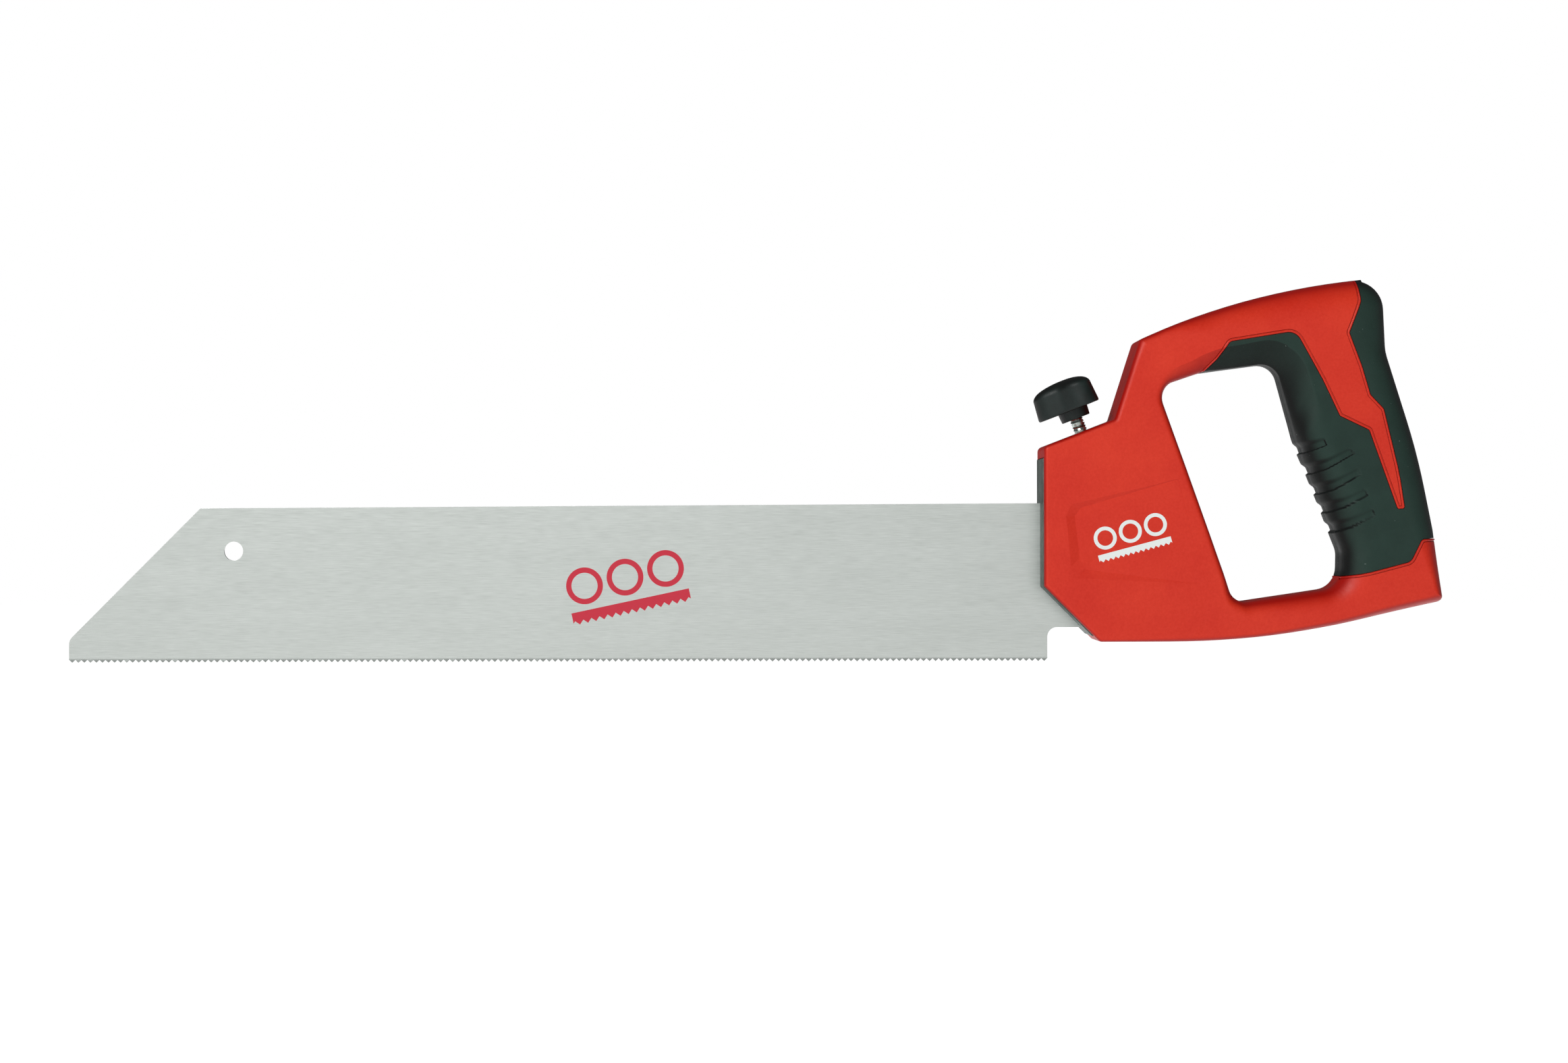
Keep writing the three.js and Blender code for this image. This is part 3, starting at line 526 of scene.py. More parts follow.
@dataclass(frozen=True)
class PipeMark:
    """A printed sign: three cut pipe ends in a row over a toothed line, tilted along the part.

    The centre, the pipes' radius and their wall are in millimetres. The line's sizes are in pipe radii, but
    its half length is in steps from pipe to pipe.
    """

    centre_x: float
    centre_z: float
    pipe_radius: float
    wall: float
    tilt: float
    pipe_step: float = 2.25
    tooth: float = 0.45
    line_top: float = -1.32
    line_bottom: float = -1.78
    line_half: float = 1.45

    def mask(self, tree: bpy.types.NodeTree, place: bpy.types.NodeSocket) -> bpy.types.NodeSocket:
        """1 where the sign is printed and 0 elsewhere.

        Args:
            tree: the material's tree.
            place: the Object coordinates, in metres.

        Returns:
            The mask.
        """
        centre = (SHOP.front_x + self.centre_x * MM, 0, self.centre_z * MM)
        moved = add_node(tree, "ShaderNodeVectorMath", {0: place, 1: centre}, operation="SUBTRACT")
        turned = add_node(
            tree,
            "ShaderNodeVectorRotate",
            {"Vector": moved.outputs[0], "Angle": self.tilt},
            rotation_type="Y_AXIS",
        )
        parts = add_node(tree, "ShaderNodeSeparateXYZ", {0: turned.outputs[0]})
        made = {"along": parts.outputs[0], "up": parts.outputs[2]}
        radius, half_wall = self.pipe_radius * MM, self.wall * MM / 2
        step = self.pipe_step * radius
        sums = (
            # Three rings: the distance along is folded to the nearest pipe's centre.
            ("number", "DIVIDE", "along", step),
            ("number", "ROUND", "number", 0.0),
            ("centre", "MULTIPLY", "number", step),
            ("beside", "SUBTRACT", "along", "centre"),
            ("beside", "MULTIPLY", "beside", "beside"),
            ("above", "MULTIPLY", "up", "up"),
            ("distance", "ADD", "beside", "above"),
            ("distance", "SQRT", "distance", 0.0),
            ("distance", "SUBTRACT", "distance", radius - half_wall),
            ("distance", "ABSOLUTE", "distance", 0.0),
            ("on_wall", "LESS_THAN", "distance", half_wall),
            ("reach", "ABSOLUTE", "along", 0.0),
            ("in_row", "LESS_THAN", "reach", 1.5 * step),
            ("rings", "MULTIPLY", "on_wall", "in_row"),
            # The toothed line under them: a bar whose lower edge is a saw tooth.
            ("wave", "PINGPONG", "along", self.tooth * radius / 2),
            ("edge", "ADD", "up", "wave"),
            ("over_edge", "GREATER_THAN", "edge", self.line_bottom * radius),
            ("under_top", "LESS_THAN", "up", self.line_top * radius),
            ("in_line", "LESS_THAN", "reach", self.line_half * step),
            ("line", "MULTIPLY", "over_edge", "under_top"),
            ("line", "MULTIPLY", "line", "in_line"),
            ("sign", "MAXIMUM", "rings", "line"),
        )
        for result, how, first, second in sums:
            inputs = {0: made.get(first, first), 1: made.get(second, second)}
            made[result] = add_node(tree, "ShaderNodeMath", inputs, operation=how).outputs[0]
        return made["sign"]


Coats = list[tuple[bpy.types.NodeSocket | float, bpy.types.NodeSocket | tuple]]


@dataclass(frozen=True)
class Finish:
    """A finish: its colour and shine, the patterns in them, and a printed sign where it has one.

    The roughness pattern's low and high are how far it goes below and above the roughness, and shine holds
    the shader's other settings.
    """

    name: str
    colour: str
    roughness: float
    metallic: float = 0.0
    light: str = "#ffffff"
    rough: Pattern = Pattern(1.5, low=-0.06, high=0.08)
    relief: Pattern = Pattern(0.4, weakest=0.0, strongest=1.0)
    relief_mm: float = 0.02
    shine: tuple[tuple[str, float], ...] = ()
    mark: PipeMark | None = None
    print_colour: str = "#ffffff"

    def coats(self, tree: bpy.types.NodeTree, place: bpy.types.NodeSocket) -> Coats:
        """The share and the colour of each coat over the base colour, from the lowest up.

        Args:
            tree: the material's tree.
            place: the Object coordinates, in metres.

        Returns:
            The coats.
        """
        return [(Pattern(4.0, 4).add(tree, place), srgb(self.light))]

    def build(self) -> bpy.types.Material:
        """Makes the material.

        Returns:
            The material, with its colour, roughness, relief and sign.
        """
        material = bpy.data.materials.new(self.name)
        material.use_nodes = True
        tree = material.node_tree
        tree.nodes.clear()
        place = add_node(tree, "ShaderNodeTexCoord").outputs["Object"]
        base, metallic = srgb(self.colour), self.metallic
        coats = self.coats(tree, place)
        if self.mark:
            mask = self.mark.mask(tree, place)
            coats.append((mask, srgb(self.print_colour)))
            if metallic:
                bare = add_node(tree, "ShaderNodeMath", {0: metallic, 1: mask}, operation="SUBTRACT")
                metallic = bare.outputs[0]
        for share, colour in coats:
            mix = add_node(tree, "ShaderNodeMix", {0: share, 6: base, 7: colour}, data_type="RGBA")
            base = mix.outputs[2]
        low, high = (self.roughness + step for step in (self.rough.low, self.rough.high))
        height = self.relief.add(tree, place)
        bump = {"Height": height, "Distance": self.relief_mm * MM, "Strength": 1.0}
        shader = add_node(
            tree,
            "ShaderNodeBsdfPrincipled",
            {
                "Base Color": base,
                "Metallic": metallic,
                "Roughness": replace(self.rough, low=low, high=high).add(tree, place),
                "Normal": add_node(tree, "ShaderNodeBump", bump).outputs[0],
                **dict(self.shine),
            },
        )
        add_node(tree, "ShaderNodeOutputMaterial", {"Surface": shader.outputs[0]})
        return material


@dataclass(frozen=True)
class MouldedShell(Finish):
    """Glass-filled nylon, moulded in a spark-eroded mould: an even colour with a fine matt grain."""

    name: str = "glass_filled_nylon_moulded_red"
    colour: str = "#d02710"
    roughness: float = 0.42
    light: str = "#da3319"
    # Painted shade: the deeper red drawn on the rounded edges, where the surface turns from the lamps.
    edge: str = "#a90e03"
    rough: Pattern = Pattern(6, low=-0.04, high=0.05)
    relief: Pattern = Pattern(0.55, 2, weakest=0.0, strongest=1.0)
    relief_mm: float = 0.05
    shine: tuple[tuple[str, float], ...] = (("Specular IOR Level", 0.3),)
    mark: PipeMark | None = PipeMark(40.0, 60.5, 5.3, 1.7, math.radians(15))
    print_colour: str = "#e9efec"

    def coats(self, tree: bpy.types.NodeTree, place: bpy.types.NodeSocket) -> Coats:
        """Soft clouds and fine flecks of two reds each, and a deeper red painted on the rounded edges as
        shade.
        """
        flecks = {0: Pattern(1.1).add(tree, place), 6: srgb("#b41808"), 7: srgb("#ee4a3a")}
        return [
            (Pattern(28).add(tree, place), srgb(self.light)),
            (0.12, add_node(tree, "ShaderNodeMix", flecks, data_type="RGBA").outputs[2]),
            (edge_shade_share(tree, 0.6, 0.995), srgb(self.edge)),
        ]


@dataclass(frozen=True)
class SoftGrip(Finish):
    """Thermoplastic rubber, moulded over the shell: near black with a green cast, matt and stippled."""

    name: str = "thermoplastic_rubber_overmoulded"
    colour: str = "#192a26"
    roughness: float = 0.55
    light: str = "#263d37"
    rough: Pattern = Pattern(4, low=-0.05, high=0.07)
    relief: Pattern = Pattern(0.7, 2, weakest=0.0, strongest=1.0)
    relief_mm: float = 0.05
    shine: tuple[tuple[str, float], ...] = (
        ("Specular IOR Level", 0.22),
        ("Sheen Weight", 0.03),
        ("Sheen Roughness", 0.5),
    )

    def coats(self, tree: bpy.types.NodeTree, place: bpy.types.NodeSocket) -> Coats:
        """Soft clouds, a near black painted on the rounded edges as shade, and sparse pale specks."""
        return [
            (Pattern(14).add(tree, place), srgb(self.light)),
            (0.65, srgb("#22372f")),
            (edge_shade_share(tree, 0.6, 0.995), srgb("#0a100f")),
            (Pattern(1.6, 1, weakest=0.79, strongest=0.84).add(tree, place), srgb("#6d7a75")),
        ]


@dataclass(frozen=True)
class KnobNylon(Finish):
    """Nylon hand knob, moulded with a satin skin: black with a soft wide highlight."""

    name: str = "nylon_moulded_black"
    colour: str = "#101816"
    roughness: float = 0.46
    light: str = "#1a2624"
    rough: Pattern = Pattern(2.5, low=-0.05, high=0.06)
    relief: Pattern = Pattern(0.5, 2, weakest=0.0, strongest=1.0)
    relief_mm: float = 0.03
    shine: tuple[tuple[str, float], ...] = (("Specular IOR Level", 0.3),)

    def coats(self, tree: bpy.types.NodeTree, place: bpy.types.NodeSocket) -> Coats:
        """Flow clouds, and a deeper black painted on the rounded edges as shade."""
        return [
            (Pattern(7).add(tree, place), srgb(self.light)),
            (edge_shade_share(tree, 0.35, 0.95), srgb("#070a09")),
        ]


@dataclass(frozen=True)
class GroundSteel(Finish):
    """Spring steel strip, ground lengthwise: a satin grey with long scratches and faint roller clouds.

    Real scratches are finer than 0.1 mm; these are drawn 0.45 mm wide so that they show.
    """

    name: str = "spring_steel_ground"
    colour: str = "#b6bcb7"
    roughness: float = 0.46
    metallic: float = 1.0
    light: str = "#d8ddd9"
    rough: Pattern = Pattern(0.45, 4, 18, -0.05, 0.06, 0.42, 0.58)
    relief: Pattern = Pattern(0.45, 4, 18)
    relief_mm: float = 0.012
    shine: tuple[tuple[str, float], ...] = (("Anisotropic", 0.5),)
    mark: PipeMark | None = PipeMark(-194.0, 39.5, 8.6, 2.5, math.radians(12))
    print_colour: str = "#c41f37"

    def coats(self, tree: bpy.types.NodeTree, place: bpy.types.NodeSocket) -> Coats:
        """Brushed streaks, softened, then faint clouds, and shade painted on the tooth line for the teeth's
        unmodelled ground facets.
        """
        clouds = {0: Pattern(9, 5, 7).add(tree, place), 6: srgb("#a9aeaa"), 7: srgb("#e2e6e3")}
        height = add_node(tree, "ShaderNodeSeparateXYZ", {0: place}).outputs[2]
        # Painted shade: the blade is drawn darker below 2 mm, on the teeth.
        low = {"Value": height, "From Min": 2.0 * MM, "From Max": 1.0 * MM, "To Min": 0.0, "To Max": 0.6}
        return [
            (self.relief.add(tree, place), srgb(self.light)),
            (0.4, srgb(self.light)),
            (0.1, add_node(tree, "ShaderNodeMix", clouds, data_type="RGBA").outputs[2]),
            (add_node(tree, "ShaderNodeMapRange", low).outputs[0], srgb("#5d6361")),
        ]


@dataclass(frozen=True)
class SmallMetal(Finish):
    """A metal of small parts: a tone with clouds, fine scratches and a slight relief."""

    metallic: float = 1.0


@dataclass
class FinishRack:
    """Every material of the saw, made once."""

    shell: bpy.types.Material = field(default_factory=lambda: MouldedShell().build())
    grip: bpy.types.Material = field(default_factory=lambda: SoftGrip().build())
    knob: bpy.types.Material = field(default_factory=lambda: KnobNylon().build())
    blade: bpy.types.Material = field(default_factory=lambda: GroundSteel().build())
    # Die-cast aluminium alloy, tumbled: a mid grey with a dull, slightly pitted skin.
    cheek: bpy.types.Material = field(
        default_factory=lambda: SmallMetal("aluminium_alloy_die_cast", "#59625d", 0.5, light="#6b746f").build()
    )
    # Zinc plate over steel: bright, slightly blue, with a smooth low relief.
    zinc: bpy.types.Material = field(
        default_factory=lambda: SmallMetal(
            "steel_zinc_plated", "#aeb8b2", 0.28, light="#c9d3cd", relief_mm=0.008
        ).build()
    )
    # Black oxide on steel: a dark, lightly oiled grey.
    oxide: bpy.types.Material = field(
        default_factory=lambda: SmallMetal("steel_black_oxide", "#3c4041", 0.42, light="#4c5152").build()
    )
    # Plain drawn steel of the rivets: grey and worn.
    steel: bpy.types.Material = field(
        default_factory=lambda: SmallMetal("steel_drawn_plain", "#767a7b", 0.4, light="#8b9091").build()
    )


# ---- The handle's shape ----
@dataclass(frozen=True)
class Section:
    """The handle's section at an angle round the D: half thickness, and the rounding of both edges.

    A crease of 1 makes the opening's edge a plain chamfer, and 0 a full round.
    """

    angle: float
    half: float
    outer_width: float
    outer_depth: float
    inner_width: float
    inner_depth: float
    crease: float = 0.0


@dataclass(frozen=True)
class FingerStep:
    """One sunk step of the grip: its right end, and its sharp lower edge down to the grip's front."""

    top: tuple[float, float]
    end: tuple[float, float]
    bend: tuple[float, float]
    front: tuple[float, float]


@dataclass(frozen=True)
class HandleShape:
    """The D-shaped handle: its outlines, its section, and the sizes that its pieces share, in millimetres."""

    nose_height: float = 99.7
    nose_step_x: float = 33.2
    nose_step_z: float = 112.4
    chamfer_start: float = 35.2
    base_height: float = 9.5
    nose_length: float = 88.6
    bar_top: float = 26.8
    opening_width: float = 50.6
    opening_height: float = 104.4
    front_drop: float = 4.1
    bar_slope: float = 0.152
    grip_lean: float = 0.29
    arm_lean: float = 0.355
    grip_depth: float = 47.0
    arm_depth: float = 33.4
    setback: float = 0.4
    nose_half: float = 12.5
    grip_half: float = 14.5
    wall: float = 2.2
    overmould: float = 1.8
    parting_gap: float = 0.3
    joint_gap: float = 0.3
    station_turn: float = 0.0075
    inset_passes: int = 7
    inset_pull: float = 0.9
    step_sink: float = 0.75
    step_sink_gain: float = 0.6
    step_height: float = 4.2
    step_height_gain: float = 1.4
    step_edge: float = 0.35
    step_end: float = 0.5

    def __post_init__(self) -> None:
        """Works out the outlines and the ring's stations once."""
        lower_front = np.array([self.nose_length, self.bar_top])
        lower_rear = lower_front + (self.opening_width, self.bar_slope * self.opening_width)
        upper_rear = lower_rear + (-self.grip_lean * self.opening_height, self.opening_height)
        rise = self.opening_height - self.front_drop
        upper_front = lower_front + (-self.arm_lean * rise, rise)
        self.remember(lower_front=lower_front, lower_rear=lower_rear)
        self.remember(upper_front=upper_front, upper_rear=upper_rear)
        self.remember(centre=(lower_front + lower_rear + upper_rear + upper_front) / 4)
        self.remember(outer=rounded_outline(self.outer_corners()))
        self.remember(opening=rounded_outline(self.opening_corners()))
        self.remember(overmould_edge=rounded_outline(self.overmould_corners()))
        self.remember(stations=self.station_angles())

    def remember(self, **values: np.ndarray) -> None:
        """Keeps values that were worked out from the sizes."""
        for name, value in values.items():
            object.__setattr__(self, name, value)

    @staticmethod
    def near(base: np.ndarray, dx: float, dz: float, radius: float = 0.0) -> Corner:
        """A corner placed from one of the opening's corners."""
        return Corner(base[0] + dx, base[1] + dz, radius)

    def outer_corners(self) -> list[Corner]:
        """The corners of the handle's outline."""
        near, lower, upper, front = self.near, self.lower_rear, self.upper_rear, self.upper_front
        return [
            Corner(self.setback, self.nose_height, 2.5),
            Corner(self.setback, self.chamfer_start, 1),
            Corner(self.chamfer_start + self.setback - self.base_height, self.base_height, 2),
            Corner(self.nose_length + 12.9, self.base_height, 400),
            near(lower, self.grip_depth, -6.6, 3),
            near(lower, self.grip_depth - 4.2, 26.4, 10),
            near(lower, self.grip_depth - 11.1, 0.591 * self.opening_height, 300),
            near(upper, self.grip_depth + 4.3, 5, 20),
            near(upper, self.grip_depth + 2.7, self.arm_depth + 6, 14),
            near(upper, -12.3, self.arm_depth, 320),
            near(front, -8.1, self.arm_depth - 11.4, 3),
            Corner(self.nose_step_x, self.nose_step_z, 1.5),
        ]

    def opening_corners(self) -> list[Corner]:
        """The corners of the hand opening."""
        near, lower, upper, front = self.near, self.lower_rear, self.upper_rear, self.upper_front
        return [
            near(front, 0, 0, 8),
            near(front, 21.8, 7.4, 3),
            near(upper, 0, 0, 9),
            near(upper, 10.7, -0.369 * self.opening_height, 60),
            near(lower, 0.4, 16.5, 10),
            near(lower, 0, 0, 10.5),
            near(self.lower_front, 0, 0, 8),
        ]

    def overmould_corners(self) -> list[Corner]:
        """The corners of what the soft grip covers: the grip, less the tongue that runs down its side."""
        near, lower, upper, front = self.near, self.lower_rear, self.upper_rear, self.upper_front
        above = self.arm_depth + 20
        return [
            near(front, 19.3, 4.1),
            near(front, 27.8, 12.7, 6),
            near(front, 33.1, 20.6, 2.5),
            near(upper, 7.0, 13.5, 6),
            near(upper, 19.2, -9.0, 20),
            near(upper, 26.9, -25.6, 1.5),
            near(upper, 40.4, -32.1, 1.5),
            near(lower, 23.1, 35.9, 1.2),
            near(lower, 26.8, 36.1, 1.2),
            near(lower, 24.3, 52.5, 80),
            near(upper, 47.5, -22.2, 1.5),
            near(upper, 41.3, -15.7, 1.5),
            near(upper, 37.4, -2.4, 12),
            near(upper, 31.8, 12.8, 1.5),
            near(upper, 37.6, 27.5, 6),
            near(upper, 36.2, above),
            near(upper, self.grip_depth + 60, above),
            near(lower, self.grip_depth + 20, 24.0),
            near(lower, 34.4, 22.3, 2.5),
            near(lower, 29.4, 12.0, 4),
            near(lower, 9.0, 6.6, 40),
            near(lower, -11.0, 3.6),
            near(lower, -28.0, 14.0),
        ]

    def sections(self) -> list[Section]:
        """How the section changes round the D."""
        nose, grip = self.nose_half, self.grip_half
        return [
            Section(-90, 12.6, 3, 3, 8.5, 7.5),
            Section(-60, 13.2, 3.5, 6, 11, 9.5),
            Section(-35, 13.9, 5, 12, 12, 10),
            Section(-15, grip, 12, 12, 14, 12.5),
            Section(10, grip, 14, 12, 14, 12.5),
            Section(45, grip, 15, 12, 12, 11),
            Section(60, 14.2, 20, 11, 11, 10, 0.5),
            Section(80, 13.7, 20, 10.5, 10.5, 9.5, 0.9),
            Section(100, 13.2, 14, 8.5, 9.5, 8.5, 0.9),
            Section(120, 12.7, 5, 4, 6, 5.5, 0.5),
            Section(135, nose, 2.8, 2.8, 3.5, 3.5),
            Section(165, nose, 2.6, 2.6, 3, 3),
            Section(172, nose, 1.9, 1.9, 3, 3),
            Section(226, nose, 1.9, 1.9, 3, 3),
            Section(250, nose, 3, 3, 3.4, 3.4),
            Section(262, nose, 3, 3, 6, 5.5),
            Section(270, 12.6, 3, 3, 8.5, 7.5),
        ]

    def screw_places(self) -> list[Corner]:
        """Where the screws that close the two shells stand."""
        near, lower, upper, front = self.near, self.lower_rear, self.upper_rear, self.upper_front
        return [
            near(front, 2, 13.9),
            near(upper, 19.1, 22.1),
            near(upper, 30.6, -10.9),
            near(lower, 31.8, 4.5),
            near(lower, -21.2, -12.0),
            near(self.lower_front, -22.6, -5.8),
            near(front, -7, -13.1),
        ]

    def finger_steps(self) -> list[FingerStep]:
        """The five sunk steps under the fingers, from the top down."""
        return [
            FingerStep((129.0, 103.2), (130.2, 99.8), (124.5, 97.4), (117.8, 94.9)),
            FingerStep((139.4, 99.2), (142.9, 96.2), (130.4, 88.7), (121.4, 85.2)),
            FingerStep((144.1, 90.4), (145.6, 86.3), (133.8, 79.2), (125.0, 75.8)),
            FingerStep((147.5, 81.2), (149.0, 76.9), (138.0, 70.8), (128.6, 67.2)),
            FingerStep((150.7, 71.9), (152.0, 67.4), (140.5, 61.4), (132.2, 58.2)),
        ]

    def angles_of(self, points: np.ndarray) -> np.ndarray:
        """The angle at which each point is seen from the middle of the opening."""
        rel = points - self.centre
        return np.arctan2(rel[:, 1], rel[:, 0])

    def station_angles(self) -> np.ndarray:
        """The ring's stations: every point of both outlines, with even steps between those far apart."""
        corners = np.sort(np.concatenate([self.angles_of(self.outer), self.angles_of(self.opening)]))
        kept = [corners[0]]
        for angle in corners[1:]:
            if angle - kept[-1] > 0.0015:
                kept.append(angle)
        filled = []
        for here, there in zip(kept, kept[1:] + [kept[0] + 2 * math.pi]):
            steps = max(1, round((there - here) / self.station_turn))
            filled += [here + (there - here) * k / steps for k in range(steps)]
        return np.array(filled)

    def hits(self, outline: np.ndarray) -> tuple[np.ndarray, np.ndarray]:
        """Where each station's ray leaves an outline.

        Args:
            outline: the closed outline.

        Returns:
            The distances from the middle, and the cosines between each ray and the outline's normal there.
        """
        ray = np.column_stack((np.cos(self.stations), np.sin(self.stations)))[:, None, :]
        edges = np.roll(outline, -1, 0) - outline
        rel = outline - self.centre
        bottom = ray[..., 0] * edges[:, 1] - ray[..., 1] * edges[:, 0]
        bottom = np.where(np.abs(bottom) < 1e-12, 1e-12, bottom)
        radius = (rel[:, 0] * edges[:, 1] - rel[:, 1] * edges[:, 0]) / bottom
        along = (rel[:, 0] * ray[..., 1] - rel[:, 1] * ray[..., 0]) / bottom
        good = (along >= -1e-6) & (along <= 1 + 1e-6) & (radius > 0)
        radius = np.where(good, radius, 0)
        best = np.argmax(radius, axis=1)
        facing = np.abs(bottom[np.arange(len(best)), best]) / np.linalg.norm(edges, axis=1)[best]
        return np.max(radius, axis=1), np.maximum(facing, 0.3)

    def on_rays(self, radius: np.ndarray) -> np.ndarray:
        """The points at the given distances from the middle, one on each station's ray."""
        return self.centre + np.column_stack((np.cos(self.stations), np.sin(self.stations))) * radius[:, None]

    def section_at(self, angles: np.ndarray) -> np.ndarray:
        """The section's six sizes at each angle, one row each."""
        degrees = np.degrees(angles)
        degrees = np.where(degrees < -90, degrees + 360, degrees)
        table = self.sections()
        sizes = np.empty((len(degrees), 6))
        for a, b in zip(table, table[1:]):
            within = (degrees >= a.angle - 1e-9) & (degrees <= b.angle + 1e-9)
            t = smoothstep(degrees[within], a.angle, b.angle)[:, None]
            first, second = (
                np.array([c.half, c.outer_width, c.outer_depth, c.inner_width, c.inner_depth, c.crease])
                for c in (a, b)
            )
            sizes[within] = first + (second - first) * t
        return sizes

    def surface_y(self, points: np.ndarray, deep: np.ndarray | float = 0.0) -> np.ndarray:
        """How far the handle's side stands from the parting plane at each point of the side view.

        Args:
            points: the points, in the side view.
            deep: how far below the skin the surface lies.

        Returns:
            The distances from the middle plane.
        """
        half, outer_w, outer_d, inner_w, inner_d, crease = self.section_at(self.angles_of(points)).T
        drop = np.zeros(len(points))
        edges = ((self.outer, outer_w, outer_d, 0.0), (self.opening, inner_w, inner_d, crease))
        for outline, width, depth, straight in edges:
            width, depth = np.maximum(width - deep, 0.3), np.maximum(depth - deep, 0.3)
            share = np.clip((distance_to(outline, points) - deep) / width, 0, 1)
            round_drop = 1 - np.sqrt(np.maximum(0, 1 - (1 - share) ** 2))
            drop += depth * (straight * (1 - share) + (1 - straight) * round_drop)
        return half - deep - drop

    def grip_share(self) -> np.ndarray:
        """1 in the grip and 0 in the nose, at each station."""
        degrees = np.degrees(self.stations)
        return smoothstep(degrees, -95, -70) - smoothstep(degrees, 118, 132)

    def finger_depth(self, points: np.ndarray) -> np.ndarray:
        """How far the finger steps sink the grip at each point of the side view."""
        depth = np.zeros(len(points))
        for step in self.finger_steps():
            top, end, bend, front = (np.array(p) for p in (step.top, step.end, step.bend, step.front))
            beyond = front + (front - bend) * 1.5
            rise = top - end
            lift = rise / np.linalg.norm(rise)
            # The height above the sharp lower edge, which is a line with one bend.
            past_bend = points[:, 0] - bend[0]
            reach = np.minimum(past_bend / (end[0] - bend[0]), 1.5)
            behind = past_bend / (bend[0] - beyond[0])
            low = np.where(reach > 0, (end[1] - bend[1]) * reach, (bend[1] - beyond[1]) * behind)
            height = points[:, 1] - bend[1] - low
            right = end[0] + lift[0] / lift[1] * (points[:, 1] - end[1]) - points[:, 0]
            near_front = smoothstep(points[:, 0], end[0], front[0])
            size = self.step_sink + self.step_sink_gain * near_front
            tall = self.step_height + self.step_height_gain * near_front
            # A step drops off at its sharp lower edge, and runs out softly round the height it has.
            sunk = smoothstep(height, 0.0, self.step_edge) * (1 - smoothstep(height, 0.55 * tall, 1.15 * tall))
            depth = np.maximum(depth, size * sunk * smoothstep(right, 0.0, self.step_end))
        return depth

    def ring(
        self, side: Side, inset: np.ndarray | float, rows: int, from_y: float, fingers: bool = False
    ) -> bpy.types.Mesh:
        """One half of the D as a closed ring, with every outer face moved inwards.

        Args:
            side: which half.
            inset: how far each station's faces are moved inwards.
            rows: how many steps each rounded edge has.
            from_y: where the half starts, measured from the middle plane.
            fingers: whether the finger steps are sunk into it.

        Returns:
            The closed mesh.
        """
        deep = np.broadcast_to(np.asarray(inset, float), self.stations.shape)
        sizes = self.section_at(self.stations)
        edges = []
        for outline, width, inwards in ((self.outer, sizes[:, 1], -1), (self.opening, sizes[:, 3], 1)):
            start, facing = self.hits(outline)
            places = []
            for k in range(rows + 1):
                target = deep + np.maximum(width - deep, 0.3) * (1 - math.cos(k / rows * math.pi / 2))
                step = target / facing
                for _ in range(self.inset_passes):
                    reached = distance_to(outline, self.on_rays(start + inwards * step))
                    step = step + (target - reached) / facing * self.inset_pull
                places.append(start + inwards * step)
            edges.append(places)
        outer_rows, inner_rows = edges
        middle = max(2, rows)
        across = [outer_rows[-1] + (inner_rows[-1] - outer_rows[-1]) * k / middle for k in range(1, middle)]
        radii = outer_rows + across + inner_rows[::-1]
        flat = [self.on_rays(r) for r in radii]
        heights = [self.surface_y(p, deep) for p in flat]
        walls = 4
        first = [heights[0] * t + from_y * (1 - t) for t in np.linspace(0, 1, walls)[:-1]]
        last = [heights[-1] * t + from_y * (1 - t) for t in np.linspace(0, 1, walls)[:-1][::-1]]
        places = [flat[0]] * len(first) + flat + [flat[-1]] * len(last)
        ys = first + heights + last
        grid = np.stack([np.column_stack((p[:, 0], y, p[:, 1])) for p, y in zip(places, ys)], axis=1)
        if fingers:
            sunk = self.finger_depth(grid[..., (0, 2)].reshape(-1, 2)).reshape(grid.shape[:2])
            along = np.roll(grid, -1, 0) - np.roll(grid, 1, 0)
            normal = np.cross(along, np.gradient(grid, axis=1))
            normal /= np.maximum(np.linalg.norm(normal, axis=2, keepdims=True), 1e-9)
            normal *= np.sign(normal[:, [grid.shape[1] // 2], 1:2])
            normal[:, [0, -1], 1] = 0
            grid = grid - normal * sunk[..., None]
        grid[..., 1] *= side.value
        return SHOP.loft(list(grid), ring=True)


SHAPE = HandleShape()


@dataclass(frozen=True)
class StudLine:
    """The clamp stud's line: where it leaves the nose, and its direction."""

    foot_along: float = 20.3

    @property
    def slope(self) -> float:
        """The slope of the nose's top."""
        return math.atan2(SHAPE.nose_step_z - SHAPE.nose_height, SHAPE.nose_step_x - SHAPE.setback)

    @property
    def up(self) -> np.ndarray:
        """The stud's direction, away from the blade."""
        return np.array([-math.sin(self.slope), 0, math.cos(self.slope)])

    @property
    def foot(self) -> np.ndarray:
        """Where the stud crosses the nose's top."""
        side = np.array([math.cos(self.slope), 0, math.sin(self.slope)])
        return np.array([SHAPE.setback, 0, SHAPE.nose_height]) + side * self.foot_along

    def place(self, points: np.ndarray) -> np.ndarray:
        """Turns points that stand on a local Z axis onto the stud's line."""
        side = np.array([math.cos(self.slope), 0, math.sin(self.slope)])
        across = np.array([0, 1, 0])
        return self.foot + points[:, :1] * side + points[:, 1:2] * across + points[:, 2:] * self.up

    def turned(self, profile: Sequence[tuple[float, float]], sides: int = 64) -> bpy.types.Mesh:
        """A body turned about the stud's line, from a profile of (radius, height above the nose's top)."""
        turns = np.linspace(0, 2 * math.pi, sides, endpoint=False)
        rows = [
            self.place(np.column_stack((r * np.cos(turns), r * np.sin(turns), np.full(sides, h))))
            for r, h in profile
        ]
        return SHOP.loft(rows)


STUD = StudLine()


